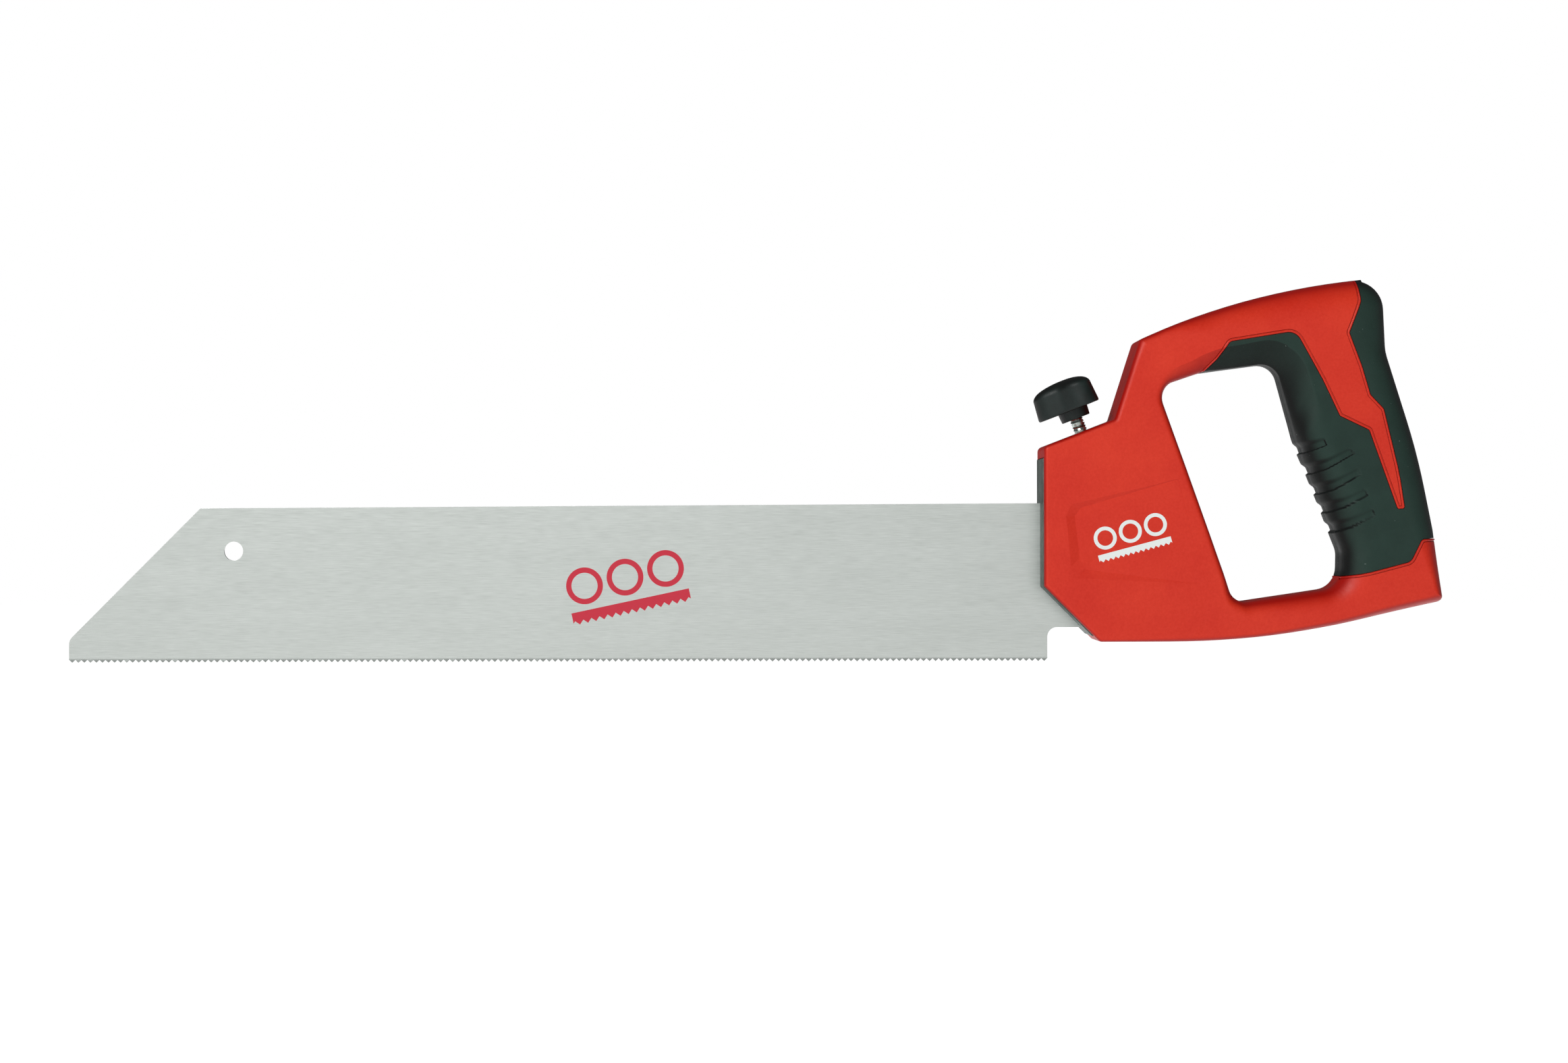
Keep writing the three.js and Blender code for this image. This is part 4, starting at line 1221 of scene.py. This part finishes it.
# ---- Sub-assemblies ----
@dataclass
class Handle:
    """The D-shaped handle: two moulded shells, the soft grip over them, and the screws that close them."""

    finishes: FinishRack
    cheek_half: float = 10.1
    cheek_top: float = 94.4
    cheek_foot: float = 12.6
    mouth_depth: float = 8.0
    stud_hole: float = 3.675
    boss_radius: float = 4.2
    screw_radius: float = 1.75
    head_radius: float = 3.5
    head_height: float = 2.6
    head_bottom: float = 8.7
    screw_grip: float = 17.2
    fit_gap: float = 0.2
    bead_radius: float = 0.45
    bead_sink: float = 0.25
    groove_radius: float = 0.32
    rows: int = 22
    panel_depth: float = 1.1
    panel_lean: float = 4.2
    panel_top_lean: float = 1.6

    def prism_of(self, grow: float) -> bpy.types.Mesh:
        """The soft grip's region, grown by a distance, through the whole handle."""
        return SHOP.prism(offset_outline(SHAPE.overmould_edge, grow), -40, 40)

    def seam_paths(self, grow: float, side: Side) -> list[np.ndarray]:
        """The lines that run along the soft grip's edge, on the handle's surface.

        Args:
            grow: how far outside the edge they run.
            side: which half of the handle.

        Returns:
            One row of points for each line, from one parting edge to the other.
        """
        edge = offset_outline(SHAPE.overmould_edge, grow)
        closed = np.vstack([edge, edge[:1]])
        lengths = np.concatenate([[0], np.cumsum(np.linalg.norm(np.diff(closed, axis=0), axis=1))])
        marks = np.arange(0, lengths[-1], 0.5)
        fine = np.column_stack([np.interp(marks, lengths, closed[:, i]) for i in range(2)])
        sink = self.bead_sink
        on_handle = inside(offset_outline(SHAPE.outer, -sink), fine)
        on_handle &= ~inside(offset_outline(SHAPE.opening, sink), fine)
        start = int(np.argmin(on_handle))
        fine, on_handle = np.roll(fine, -start, 0), np.roll(on_handle, -start)
        paths = []
        for first in np.flatnonzero(on_handle & ~np.roll(on_handle, 1)):
            last = first + int(np.argmin(on_handle[first:])) if not on_handle[first:].all() else len(fine)
            stretch = fine[first:last]
            ys = SHAPE.surface_y(stretch) - sink
            low = SHAPE.parting_gap / 2
            rise = np.linspace(low, 1, 8)[:-1]
            start_wall = [(stretch[0][0], ys[0] * t, stretch[0][1]) for t in rise]
            end_wall = [(stretch[-1][0], ys[-1] * t, stretch[-1][1]) for t in rise[::-1]]
            middle = [(p[0], y, p[1]) for p, y in zip(stretch, ys)]
            path = np.array(start_wall + middle + end_wall)
            path[:, 1] *= side.value
            paths.append(path)
        return paths

    def seam_tool(self) -> NodeTool:
        """A node tree that sweeps a round section along a line."""
        tool = NodeTool("seam_sweep", {"Radius": "NodeSocketFloat", "Sides": "NodeSocketInt"})
        path = add_node(tool.tree, "GeometryNodeMeshToCurve", {0: tool.take("Geometry")})
        round_section = add_node(
            tool.tree,
            "GeometryNodeCurvePrimitiveCircle",
            {"Resolution": tool.take("Sides"), "Radius": tool.take("Radius")},
        )
        swept = add_node(
            tool.tree,
            "GeometryNodeCurveToMesh",
            {"Curve": path.outputs[0], "Profile Curve": round_section.outputs[0], "Fill Caps": True},
        )
        tool.close(swept.outputs[0], self.finishes.shell)
        return tool

    def seam(self, tool: NodeTool, path: np.ndarray, radius: float) -> bpy.types.Mesh:
        """A round bead swept along a line on the surface."""
        line = bpy.data.meshes.new("line")
        placed = path * MM + (SHOP.front_x, 0, 0)
        line.from_pydata([tuple(p) for p in placed], [(i, i + 1) for i in range(len(path) - 1)], [])
        return tool.run(line, Radius=radius * MM, Sides=8)

    def nose_mouth(self) -> bpy.types.Mesh:
        """The gap in the front of the nose that shows the metal cheeks."""
        wide = self.cheek_half + SHAPE.joint_gap
        foot = self.cheek_foot - SHAPE.joint_gap
        top = self.cheek_top + SHAPE.joint_gap
        depth, reach = self.mouth_depth, 20
        chamfer = SHAPE.chamfer_start - foot
        outline = [
            (-reach, top),
            (depth, top),
            (depth, SHAPE.chamfer_start + depth / 2),
            (chamfer + depth, foot + SHAPE.wall),
            (chamfer + depth, foot),
            (chamfer - reach, foot),
            (-reach, SHAPE.chamfer_start),
        ]
        return SHOP.prism(np.array(outline), -wide, wide)

    def nose_panel(self, side: Side) -> bpy.types.Mesh:
        """The shallow panel on the side of the nose: sloped walls in front, fading out at its rear."""
        rim = rounded_outline(
            [
                Corner(10.3, 67.5, 1.5),
                Corner(12.6, 72.9, 2.5),
                Corner(62.0, 84.6, 1.0),
                Corner(74.0, 36.0, 1.0),
                Corner(14.2, 38.9, 4.0),
                Corner(12.6, 44.0, 4.0),
            ]
        )
        sunk = self.panel_depth * (1 - smoothstep(rim[:, 0], 15.0, 72.0))
        middle_x, middle_z = 38.0, 59.0
        ahead, above = middle_x - rim[:, 0], rim[:, 1] - middle_z
        fade = 1 - smoothstep(rim[:, 0], 20, 70)
        floor = rim.copy()
        floor[:, 0] += self.panel_lean * smoothstep(ahead, 18, 24)
        floor[:, 1] += np.where(above < -12, self.panel_lean, 0) * fade
        floor[:, 1] -= np.where(above > 10, self.panel_top_lean, 0) * fade
        half = SHAPE.nose_half
        rows = [
            np.column_stack((rim[:, 0], np.full(len(rim), half + 2), rim[:, 1])),
            np.column_stack((rim[:, 0], np.full(len(rim), half + 0.01), rim[:, 1])),
            np.column_stack((floor[:, 0], half - sunk, floor[:, 1])),
        ]
        for row in rows:
            row[:, 1] *= side.value
        return SHOP.loft(rows)

    def shell(self, side: Side, tool: NodeTool) -> list[bpy.types.Mesh]:
        """One moulded shell with its walls, screw bosses, seam groove and raised seam bead."""
        gap = SHAPE.parting_gap / 2
        under = SHAPE.ring(side, SHAPE.overmould + SHAPE.joint_gap, 8, gap)
        recess = SHOP.combine(self.prism_of(SHAPE.joint_gap), under.copy(), Cut.REMOVE)
        body = SHOP.combine(SHAPE.ring(side, 0.0, self.rows, gap), recess, Cut.REMOVE)
        inset = SHAPE.wall + (SHAPE.overmould + SHAPE.joint_gap) * SHAPE.grip_share()
        body = SHOP.combine(body, SHAPE.ring(side, inset, 4, -1.0), Cut.REMOVE)
        sign = side.value
        for place in SHAPE.screw_places():
            ends = [(self.boss_radius, sign * gap), (self.boss_radius, sign * 13)]
            boss = SHOP.bar(place.x, place.z, ends, 32)
            body = SHOP.combine(body, SHOP.combine(boss, under.copy(), Cut.KEEP), Cut.JOIN)
        for place in SHAPE.screw_places():
            body = SHOP.combine(body, self.screw_room(place, side), Cut.REMOVE)
        body = SHOP.combine(body, self.nose_mouth(), Cut.REMOVE)
        body = SHOP.combine(body, STUD.turned([(self.stud_hole, -20), (self.stud_hole, 20)], 48), Cut.REMOVE)
        body = SHOP.combine(body, self.nose_panel(side), Cut.REMOVE)
        beads = []
        for path in self.seam_paths(SHAPE.joint_gap + 2 * self.bead_radius + self.groove_radius * 0.8, side):
            body = SHOP.combine(body, self.seam(tool, path, self.groove_radius), Cut.REMOVE)
        for path in self.seam_paths(SHAPE.joint_gap + self.bead_radius, side):
            beads.append(self.seam(tool, path, self.bead_radius))
        return [body, *beads]

    def screw_room(self, place: Corner, side: Side) -> bpy.types.Mesh:
        """The hole for a closing screw: a pilot in the left shell, room for shank and head in the right."""
        shank = self.screw_radius + self.fit_gap
        tip = self.head_bottom - self.screw_grip - 0.6
        if side is Side.LEFT:
            return SHOP.bar(place.x, place.z, [(shank, tip), (shank, 5)], 32)
        head = self.head_radius + self.fit_gap
        seat = self.head_bottom - 0.1
        return SHOP.bar(place.x, place.z, [(shank, -5), (shank, seat), (head, seat), (head, 30)], 40)

    def grip(self, side: Side) -> list[bpy.types.Mesh]:
        """One half of the soft grip, with the steps under the fingers."""
        gap = SHAPE.parting_gap / 2
        skin = SHAPE.ring(side, 0.0, self.rows + 10, gap, fingers=True)
        cover = SHOP.combine(skin, self.prism_of(0.0), Cut.KEEP)
        return [SHOP.combine(cover, SHAPE.ring(side, SHAPE.overmould, 8, -1.0), Cut.REMOVE)]

    def screw(self) -> bpy.types.Mesh:
        """One closing screw with a domed head and a hexagon socket, standing at the handle frame's origin."""
        top = self.head_bottom + self.head_height
        tip = self.head_bottom - self.screw_grip
        r, h = self.screw_radius, self.head_radius
        under = self.head_bottom
        profile = [(0.3, tip), (r - 0.5, tip + 0.6), (r, tip + 1.6), (r, under), (h - 0.15, under)]
        profile += [(h, under + 0.2), (h, top - 0.9), (h - 0.35, top - 0.3), (h - 1.0, top), (0.3, top)]
        body = SHOP.bar(0, 0, profile, 40)
        socket = SHOP.bar(0, 0, [(1.5, top - 1.6), (1.5, top + 1)], 6)
        return SHOP.combine(body, socket, Cut.REMOVE)

    def build(self) -> None:
        """Builds and dresses the shells, the grip and the screws."""
        tool = self.seam_tool()
        rack = self.finishes
        for side, name in ((Side.LEFT, "left"), (Side.RIGHT, "right")):
            shell, grip = f"handle_shell_{name}", f"grip_overmould_{name}"
            meshes = self.shell(side, tool)
            SHOP.piece(f"{shell}_moulding", meshes, rack.shell, "handle", "shell_red", [shell], 13)
            SHOP.piece(f"{grip}_skin", self.grip(side), rack.grip, "handle", "grip_rubber", [grip], 38)
        places = [(place.x, place.z) for place in SHAPE.screw_places()]
        nodes = [f"handle_screw_{i + 1}" for i in range(len(places))]
        screws = set_out("closing_screws", self.screw(), places, rack.oxide)
        SHOP.piece("handle_screws", [screws], rack.oxide, "handle", "screw_steel", nodes)


@dataclass
class Blade:
    """The removable blade: a ground plate with a hanging hole, a relieved heel, a tang and set teeth."""

    finishes: FinishRack
    teeth_per_inch: int = 9
    tooth_count: int = 162
    tooth_depth: float = 1.3
    thickness: float = 1.0
    toe_height: float = 72.0
    heel_height: float = 73.7
    heel_x: float = 3.3
    toe_flat: float = 10.5
    toe_round: float = 5.0
    tang_bottom: float = 15.8
    tang_reach: float = 49.0
    tang_round: float = 4.5
    tang_chamfer: float = 3.0
    hole_radius: float = 4.45
    hole_from_toe: float = 77.0
    hole_height: float = 52.0
    set_angle: float = 0.17

    @property
    def pitch(self) -> float:
        """The distance from tooth to tooth."""
        return 25.4 / self.teeth_per_inch

    @property
    def toe_x(self) -> float:
        """Where the toe ends."""
        return self.heel_x - self.pitch * self.tooth_count

    def plate(self) -> bpy.types.Mesh:
        """The blade above the roots of its teeth, with softened edges and its hanging hole."""
        root = self.tooth_depth
        outline = rounded_outline(
            [
                Corner(self.heel_x, root),
                Corner(self.heel_x, self.tang_bottom, self.tang_round),
                Corner(self.tang_reach - self.tang_chamfer, self.tang_bottom),
                Corner(self.tang_reach, self.tang_bottom + self.tang_chamfer),
                Corner(self.tang_reach, self.heel_height - self.tang_chamfer),
                Corner(self.tang_reach - self.tang_chamfer, self.heel_height),
                Corner(0, self.heel_height),
                Corner(self.toe_x + self.toe_height - self.toe_flat, self.toe_height, 1.0),
                Corner(self.toe_x, self.toe_flat, self.toe_round),
                Corner(self.toe_x, root),
            ]
        )
        half = self.thickness / 2
        body = SHOP.prism(outline, -half, half)
        ends = [(self.hole_radius, -5), (self.hole_radius, 5)]
        hole = SHOP.bar(self.toe_x + self.hole_from_toe, self.hole_height, ends, 64)
        return SHOP.bevelled(SHOP.combine(body, hole, Cut.REMOVE), 0.1, 2, 50)

    def teeth_tool(self) -> NodeTool:
        """A node tree that lines up the teeth under the plate, each leaning a little to one side."""
        kinds = {name: "NodeSocketFloat" for name in ("Pitch", "Depth", "Thickness", "Lean")}
        tool = NodeTool("set_teeth", {**kinds, "Count": "NodeSocketInt", "Start": "NodeSocketVector"})
        tree = tool.tree

        made = {"number": add_node(tree, "GeometryNodeInputIndex").outputs[0]}
        made |= {name: tool.take(name) for name in ("Pitch", "Depth", "Lean")}
        sums = (
            # The turned wedge is 3 ** 0.5 wide and 1.5 high, with its point down and its foot half a unit up.
            ("wide", "DIVIDE", "Pitch", 3**0.5),
            ("tall", "DIVIDE", "Depth", 1.5),
            ("drop", "MULTIPLY", "tall", -0.5),
            # A wavy set: the teeth lean to the left and right by turns, more and less along a wave.
            ("turn", "MULTIPLY", "number", math.pi),
            ("turn", "COSINE", "turn", 0.0),
            ("wave", "MULTIPLY", "number", 0.83),
            ("wave", "SINE", "wave", 0.0),
            ("wave", "MULTIPLY", "wave", 0.45),
            ("wave", "ADD", "wave", 0.55),
            ("tilt", "MULTIPLY", "turn", "wave"),
            ("tilt", "MULTIPLY", "tilt", "Lean"),
        )
        for result, how, first, second in sums:
            inputs = {0: made.get(first, first), 1: made.get(second, second)}
            made[result] = add_node(tree, "ShaderNodeMath", inputs, operation=how).outputs[0]
        wedge = add_node(
            tree,
            "GeometryNodeMeshCylinder",
            {"Vertices": 3, "Radius": 1.0, "Depth": tool.take("Thickness")},
        )
        turned = add_node(
            tree,
            "GeometryNodeTransform",
            {"Geometry": wedge.outputs["Mesh"], "Rotation": (math.pi / 2, math.pi / 2, 0)},
        )
        size = add_node(tree, "ShaderNodeCombineXYZ", {0: made["wide"], 1: 1.0, 2: made["tall"]})
        lower = add_node(tree, "ShaderNodeCombineXYZ", {2: made["drop"]})
        tooth = add_node(
            tree,
            "GeometryNodeTransform",
            {"Geometry": turned.outputs[0], "Scale": size.outputs[0], "Translation": lower.outputs[0]},
        )
        step = add_node(tree, "ShaderNodeCombineXYZ", {0: tool.take("Pitch")})
        line = add_node(
            tree,
            "GeometryNodeMeshLine",
            {"Count": tool.take("Count"), "Start Location": tool.take("Start"), "Offset": step.outputs[0]},
        )
        spin = add_node(tree, "ShaderNodeCombineXYZ", {0: made["tilt"]})
        placed = add_node(
            tree,
            "GeometryNodeInstanceOnPoints",
            {"Points": line.outputs[0], "Instance": tooth.outputs[0], "Rotation": spin.outputs[0]},
        )
        tool.close(placed.outputs[0], self.finishes.blade, keep=True)
        return tool

    def build(self) -> None:
        """Builds and dresses the blade."""
        start = (SHOP.front_x + (self.toe_x + self.pitch / 2) * MM, 0, (self.tooth_depth + 0.05) * MM)
        blade = self.teeth_tool().run(
            self.plate(),
            Pitch=self.pitch * MM,
            Depth=(self.tooth_depth + 0.05) * MM,
            Thickness=self.thickness * 0.96 * MM,
            Lean=self.set_angle,
            Count=self.tooth_count,
            Start=start,
        )
        SHOP.piece("blade_ground_strip", [blade], self.finishes.blade, "blade", "blade_steel", ["blade"], 15)


@dataclass
class Clamp:
    """The clamp in the nose: stud, knob, captive nut, shoe with its clip, the two cheeks and their rivets."""

    finishes: FinishRack
    stud_radius: float = 3.175
    thread_pitch: float = 1.27
    thread_depth: float = 0.62
    exposed: float = 6.5
    in_knob: float = 10.5
    stud_head_radius: float = 5.0
    stud_head_height: float = 3.0
    groove_depth: float = 1.0
    lobes: int = 3
    knob_radius: float = 13.4
    lobe_rise: float = 3.2
    knob_height: float = 14.7
    collar_radius: float = 7.2
    collar_height: float = 4.4
    fit_gap: float = 0.2
    rivet_radius: float = 2.0
    cheek_half: float = 10.1
    heel_height: float = 73.7
    tang_reach: float = 49.0
    tang_bottom: float = 15.8
    cheek_tail: float = 10.0

    def thread_tool(self) -> NodeTool:
        """A node tree that winds a pointed thread on the stud's core."""
        kinds = {name: "NodeSocketFloat" for name in ("Radius", "Ridge", "Turns", "Height", "Lean")}
        tool = NodeTool("stud_thread", {**kinds, "Foot": "NodeSocketVector"})
        tree = tool.tree
        helix = add_node(
            tree,
            "GeometryNodeCurveSpiral",
            {
                "Resolution": 40,
                "Rotations": tool.take("Turns"),
                "Start Radius": tool.take("Radius"),
                "End Radius": tool.take("Radius"),
                "Height": tool.take("Height"),
            },
        )
        ridge = add_node(
            tree, "GeometryNodeCurvePrimitiveCircle", {"Resolution": 4, "Radius": tool.take("Ridge")}
        )
        wound = add_node(
            tree,
            "GeometryNodeCurveToMesh",
            {"Curve": helix.outputs[0], "Profile Curve": ridge.outputs[0], "Fill Caps": True},
        )
        tilt = add_node(tree, "ShaderNodeCombineXYZ", {1: tool.take("Lean")})
        placed = add_node(
            tree,
            "GeometryNodeTransform",
            {"Geometry": wound.outputs[0], "Translation": tool.take("Foot"), "Rotation": tilt.outputs[0]},
        )
        tool.close(placed.outputs[0], self.finishes.zinc, keep=True)
        return tool

    def stud(self) -> bpy.types.Mesh:
        """The stud: a core with a retaining groove and a head, wound with its thread."""
        shoe_top, shoe_bore, clip_depth, clip_thickness = self.shoe_top, 5.6, 2.4, 0.8
        tip = -(shoe_top + shoe_bore - 0.4)
        clip_top = -(shoe_top + clip_depth)
        clip_bottom = clip_top - clip_thickness
        core, groove = self.stud_radius - self.thread_depth, self.stud_radius - self.groove_depth
        full = self.stud_radius
        head = self.exposed + self.in_knob
        land = -shoe_top + 0.4
        profile = [
            (0.3, tip),
            (full - 0.6, tip),
            (full, tip + 0.6),
            (full, clip_bottom - self.fit_gap),
            (groove, clip_bottom - self.fit_gap),
            (groove, clip_top + self.fit_gap),
            (full, clip_top + self.fit_gap),
            (full, land),
            (core, land + 0.5),
            (core, head - self.stud_head_height),
            (self.stud_head_radius, head - self.stud_head_height),
            (self.stud_head_radius, head - 0.4),
            (self.stud_head_radius - 0.4, head),
            (0.3, head),
        ]
        low, high = land + 0.5, head - self.stud_head_height - 0.8
        foot = STUD.place(np.array([[0, 0, low]]))[0] * MM + (SHOP.front_x, 0, 0)
        return self.thread_tool().run(
            STUD.turned(profile),
            Radius=(self.stud_radius - self.thread_depth) * MM,
            Ridge=self.thread_depth * MM,
            Turns=(high - low) / self.thread_pitch,
            Height=(high - low) * MM,
            Lean=-STUD.slope,
            Foot=tuple(foot),
        )

    @property
    def shoe_top(self) -> float:
        """The depth of the shoe's top below the nose's top, along the stud."""
        return (STUD.foot[2] - self.heel_height - 0.1) / math.cos(STUD.slope) - 9.0

    def knob_rows(self) -> list[tuple[float, float]]:
        """The knob's profile from its underside to its crown, as (share of the lobed outline, height)."""
        corner = [(0.955, 0.0), (0.985, 0.012), (0.998, 0.04), (1.0, 0.075)]
        wall = [(1 - 0.052 * t, 0.075 + 0.575 * t) for t in np.linspace(0, 1, 7)[1:]]
        turns = np.linspace(0, math.pi / 2, 26)[1:-1]
        crown = [(0.948 * math.cos(a) ** 0.8, 0.65 + 0.35 * math.sin(a)) for a in turns]
        return [*corner, *wall, *crown, (0.02, 1.0)]

    def knob(self) -> bpy.types.Mesh:
        """The lobed knob with its collar, hollowed for the stud."""
        sides = 180
        turns = np.linspace(0, 2 * math.pi, sides, endpoint=False)
        lobed = self.knob_radius + self.lobe_rise * np.cos(self.lobes * (turns - math.pi))
        foot = self.exposed + self.collar_height
        rows = []
        for share, up in self.knob_rows():
            # Towards the crown the lobes fade into a round dome.
            fade = smoothstep(share, 0.1, 0.8)
            radius = share * (self.knob_radius + (lobed - self.knob_radius) * fade)
            height = np.full(sides, foot + up * self.knob_height)
            rows.append(STUD.place(np.column_stack((radius * np.cos(turns), radius * np.sin(turns), height))))
        head = SHOP.loft(rows)
        r, low, high = self.collar_radius, self.exposed, foot + 1
        collar = STUD.turned([(r - 0.9, low), (r - 0.55, low + 0.08), (r - 0.4, low + 0.4), (r, high)], 72)
        body = SHOP.combine(head, collar, Cut.JOIN)
        bore, cap = self.stud_radius + self.fit_gap, self.stud_head_radius + self.fit_gap
        top = self.exposed + self.in_knob
        shelf = top - self.stud_head_height - self.fit_gap
        room = STUD.turned([(bore, low - 1), (bore, shelf), (cap, shelf), (cap, top + self.fit_gap)])
        return SHOP.combine(body, room, Cut.REMOVE)

    def rivet_places(self) -> list[tuple[float, float]]:
        """Where the rivets stand: two above the blade and two behind its tang."""
        behind = self.tang_reach + self.cheek_tail / 2
        return [
            (8.5, self.heel_height + 12),
            (self.tang_reach - 4, self.heel_height + 10),
            (behind, self.tang_bottom + 14),
            (behind, self.heel_height - 16),
        ]

    def rivet(self) -> bpy.types.Mesh:
        """One rivet with softened ends, standing at the handle frame's origin."""
        r, end = self.rivet_radius, self.cheek_half
        profile = [(0.3, -end), (r - 0.4, -end), (r, -end + 0.4), (r, end - 0.4), (r - 0.4, end), (0.3, end)]
        return SHOP.bar(0, 0, profile, 40)

    def build(self) -> None:
        """Builds and dresses every piece of the clamp."""
        rack = self.finishes
        SHOP.piece("clamp_stud_threaded", [self.stud()], rack.zinc, "knob", "stud_zinc", ["clamp_stud"])
        SHOP.piece("clamp_knob_moulding", [self.knob()], rack.knob, "knob", "knob_nylon", ["clamp_knob"])
        nodes = [f"cheek_rivet_{i + 1}" for i in range(len(self.rivet_places()))]
        rivets = set_out("cheek_rivets", self.rivet(), self.rivet_places(), rack.steel)
        SHOP.piece("cheek_rivets", [rivets], rack.steel, "handle", "rivet_steel", nodes)
        softened = (
            ("clamp_cheek_left", "clamp_cheek_left_casting", rack.cheek, "handle", "cheek_alloy", 0.35),
            ("clamp_cheek_right", "clamp_cheek_right_casting", rack.cheek, "handle", "cheek_alloy", 0.35),
            ("captive_nut", "captive_nut_plated", rack.zinc, "handle", "nut_zinc", 0.25),
            ("clamp_shoe", "clamp_shoe_oxide", rack.oxide, "shoe", "shoe_steel", 0.25),
            ("shoe_clip", "shoe_clip_spring", rack.oxide, "shoe", "shoe_steel", 0.06),
        )
        for node, name, material, body, slot, edge in softened:
            mesh = SHOP.bevelled(SHOP.copy_of(node), edge)
            SHOP.piece(name, [mesh], material, body, slot, [node], 15)


# ---- Studio ----
@dataclass
class Studio:
    """The camera, the soft lights and the plain pale floor."""

    camera_x: float = 0.01437
    camera_z: float = 0.0607
    distance: float = 0.850
    frame_width: float = 0.7332
    roll: float = math.radians(0.1)
    floor_z: float = -0.215
    backdrop: float = 1.0
    ambient: float = 0.12

    def camera(self) -> None:
        """Makes the camera, which looks square on at the saw's left side."""
        data = bpy.data.cameras.new("camera")
        data.sensor_width = 36.0
        data.lens = data.sensor_width * self.distance / self.frame_width
        data.clip_start = 0.01
        camera = bpy.data.objects.new("camera", data)
        camera.location = (self.camera_x, -self.distance, self.camera_z)
        camera.rotation_euler = (math.pi / 2, self.roll, 0)
        bpy.context.scene.collection.objects.link(camera)
        bpy.context.scene.camera = camera

    def world(self) -> None:
        """Lights the room evenly and shows a white backdrop."""
        world = bpy.data.worlds.new("studio")
        bpy.context.scene.world = world
        world.use_nodes = True
        tree = world.node_tree
        tree.nodes.clear()
        seen = add_node(tree, "ShaderNodeBackground", {"Color": (1, 1, 1, 1), "Strength": self.backdrop})
        light = add_node(tree, "ShaderNodeBackground", {"Color": (1, 1, 1, 1), "Strength": self.ambient})
        path = add_node(tree, "ShaderNodeLightPath")
        both = {0: path.outputs["Is Camera Ray"], 1: light.outputs[0], 2: seen.outputs[0]}
        mix = add_node(tree, "ShaderNodeMixShader", both)
        add_node(tree, "ShaderNodeOutputWorld", {0: mix.outputs[0]})

    def area(self, name: str, place: tuple, target: tuple, size: tuple, power: float) -> None:
        """A soft box that faces a point.

        Args:
            name: its name.
            place: where it stands.
            target: the point that it faces.
            size: its width and height, in metres.
            power: its power, in watts.
        """
        data = bpy.data.lights.new(name, "AREA")
        data.shape = "RECTANGLE"
        data.size, data.size_y = size
        data.energy = power
        light = bpy.data.objects.new(name, data)
        light.location = place
        to = np.array(target) - np.array(place)
        down, round_z = math.acos(-to[2] / np.linalg.norm(to)), math.atan2(to[1], to[0])
        light.rotation_euler = (down, 0, round_z - math.pi / 2)
        bpy.context.scene.collection.objects.link(light)

    def floor(self) -> None:
        """Lays the pale floor: a wide sheet, a little below the saw."""
        material = bpy.data.materials.new("paper_matt_white")
        material.use_nodes = True
        tree = material.node_tree
        shader = tree.nodes["Principled BSDF"]
        shader.inputs["Base Color"].default_value = (0.9, 0.9, 0.9, 1)
        shader.inputs["Roughness"].default_value = 0.9
        # The paper glows most behind the saw: it looks white, and throws little light on the undersides.
        place = add_node(tree, "ShaderNodeTexCoord").outputs["Object"]
        depth = add_node(tree, "ShaderNodeSeparateXYZ", {0: place})
        glow = add_node(
            tree,
            "ShaderNodeMapRange",
            {"Value": depth.outputs[1], "From Min": -0.1, "From Max": 0.12, "To Min": 0.38, "To Max": 1.0},
        )
        tree.links.new(glow.outputs[0], shader.inputs["Emission Color"])
        shader.inputs["Emission Strength"].default_value = 0.95
        half = 6.0
        mesh = bpy.data.meshes.new("floor")
        corners = [(-half, -half), (half, -half), (half, half), (-half, half)]
        mesh.from_pydata([(x, y, self.floor_z) for x, y in corners], [], [(0, 1, 2, 3)])
        mesh.materials.append(material)
        SHOP.stand(mesh, "floor")

    def build(self) -> None:
        """Sets up the whole studio."""
        scene = bpy.context.scene
        scene.view_settings.view_transform = "Standard"
        self.camera()
        self.world()
        self.area("front", (-0.2, -1.95, 0.35), (-0.05, 0, 0.08), (3.6, 2.2), 15.2)
        self.area("key", (-0.95, -1.45, 1.15), (0.1, 0, 0.08), (0.9, 0.9), 22)
        self.floor()


def main() -> None:
    """Builds the studio and every sub-assembly."""
    logging.basicConfig(level=logging.INFO, format="%(name)s: %(message)s")
    Studio().build()
    finishes = FinishRack()
    for assembly in (Blade(finishes), Clamp(finishes), Handle(finishes)):
        assembly.build()


if __name__ == "__main__":
    main()
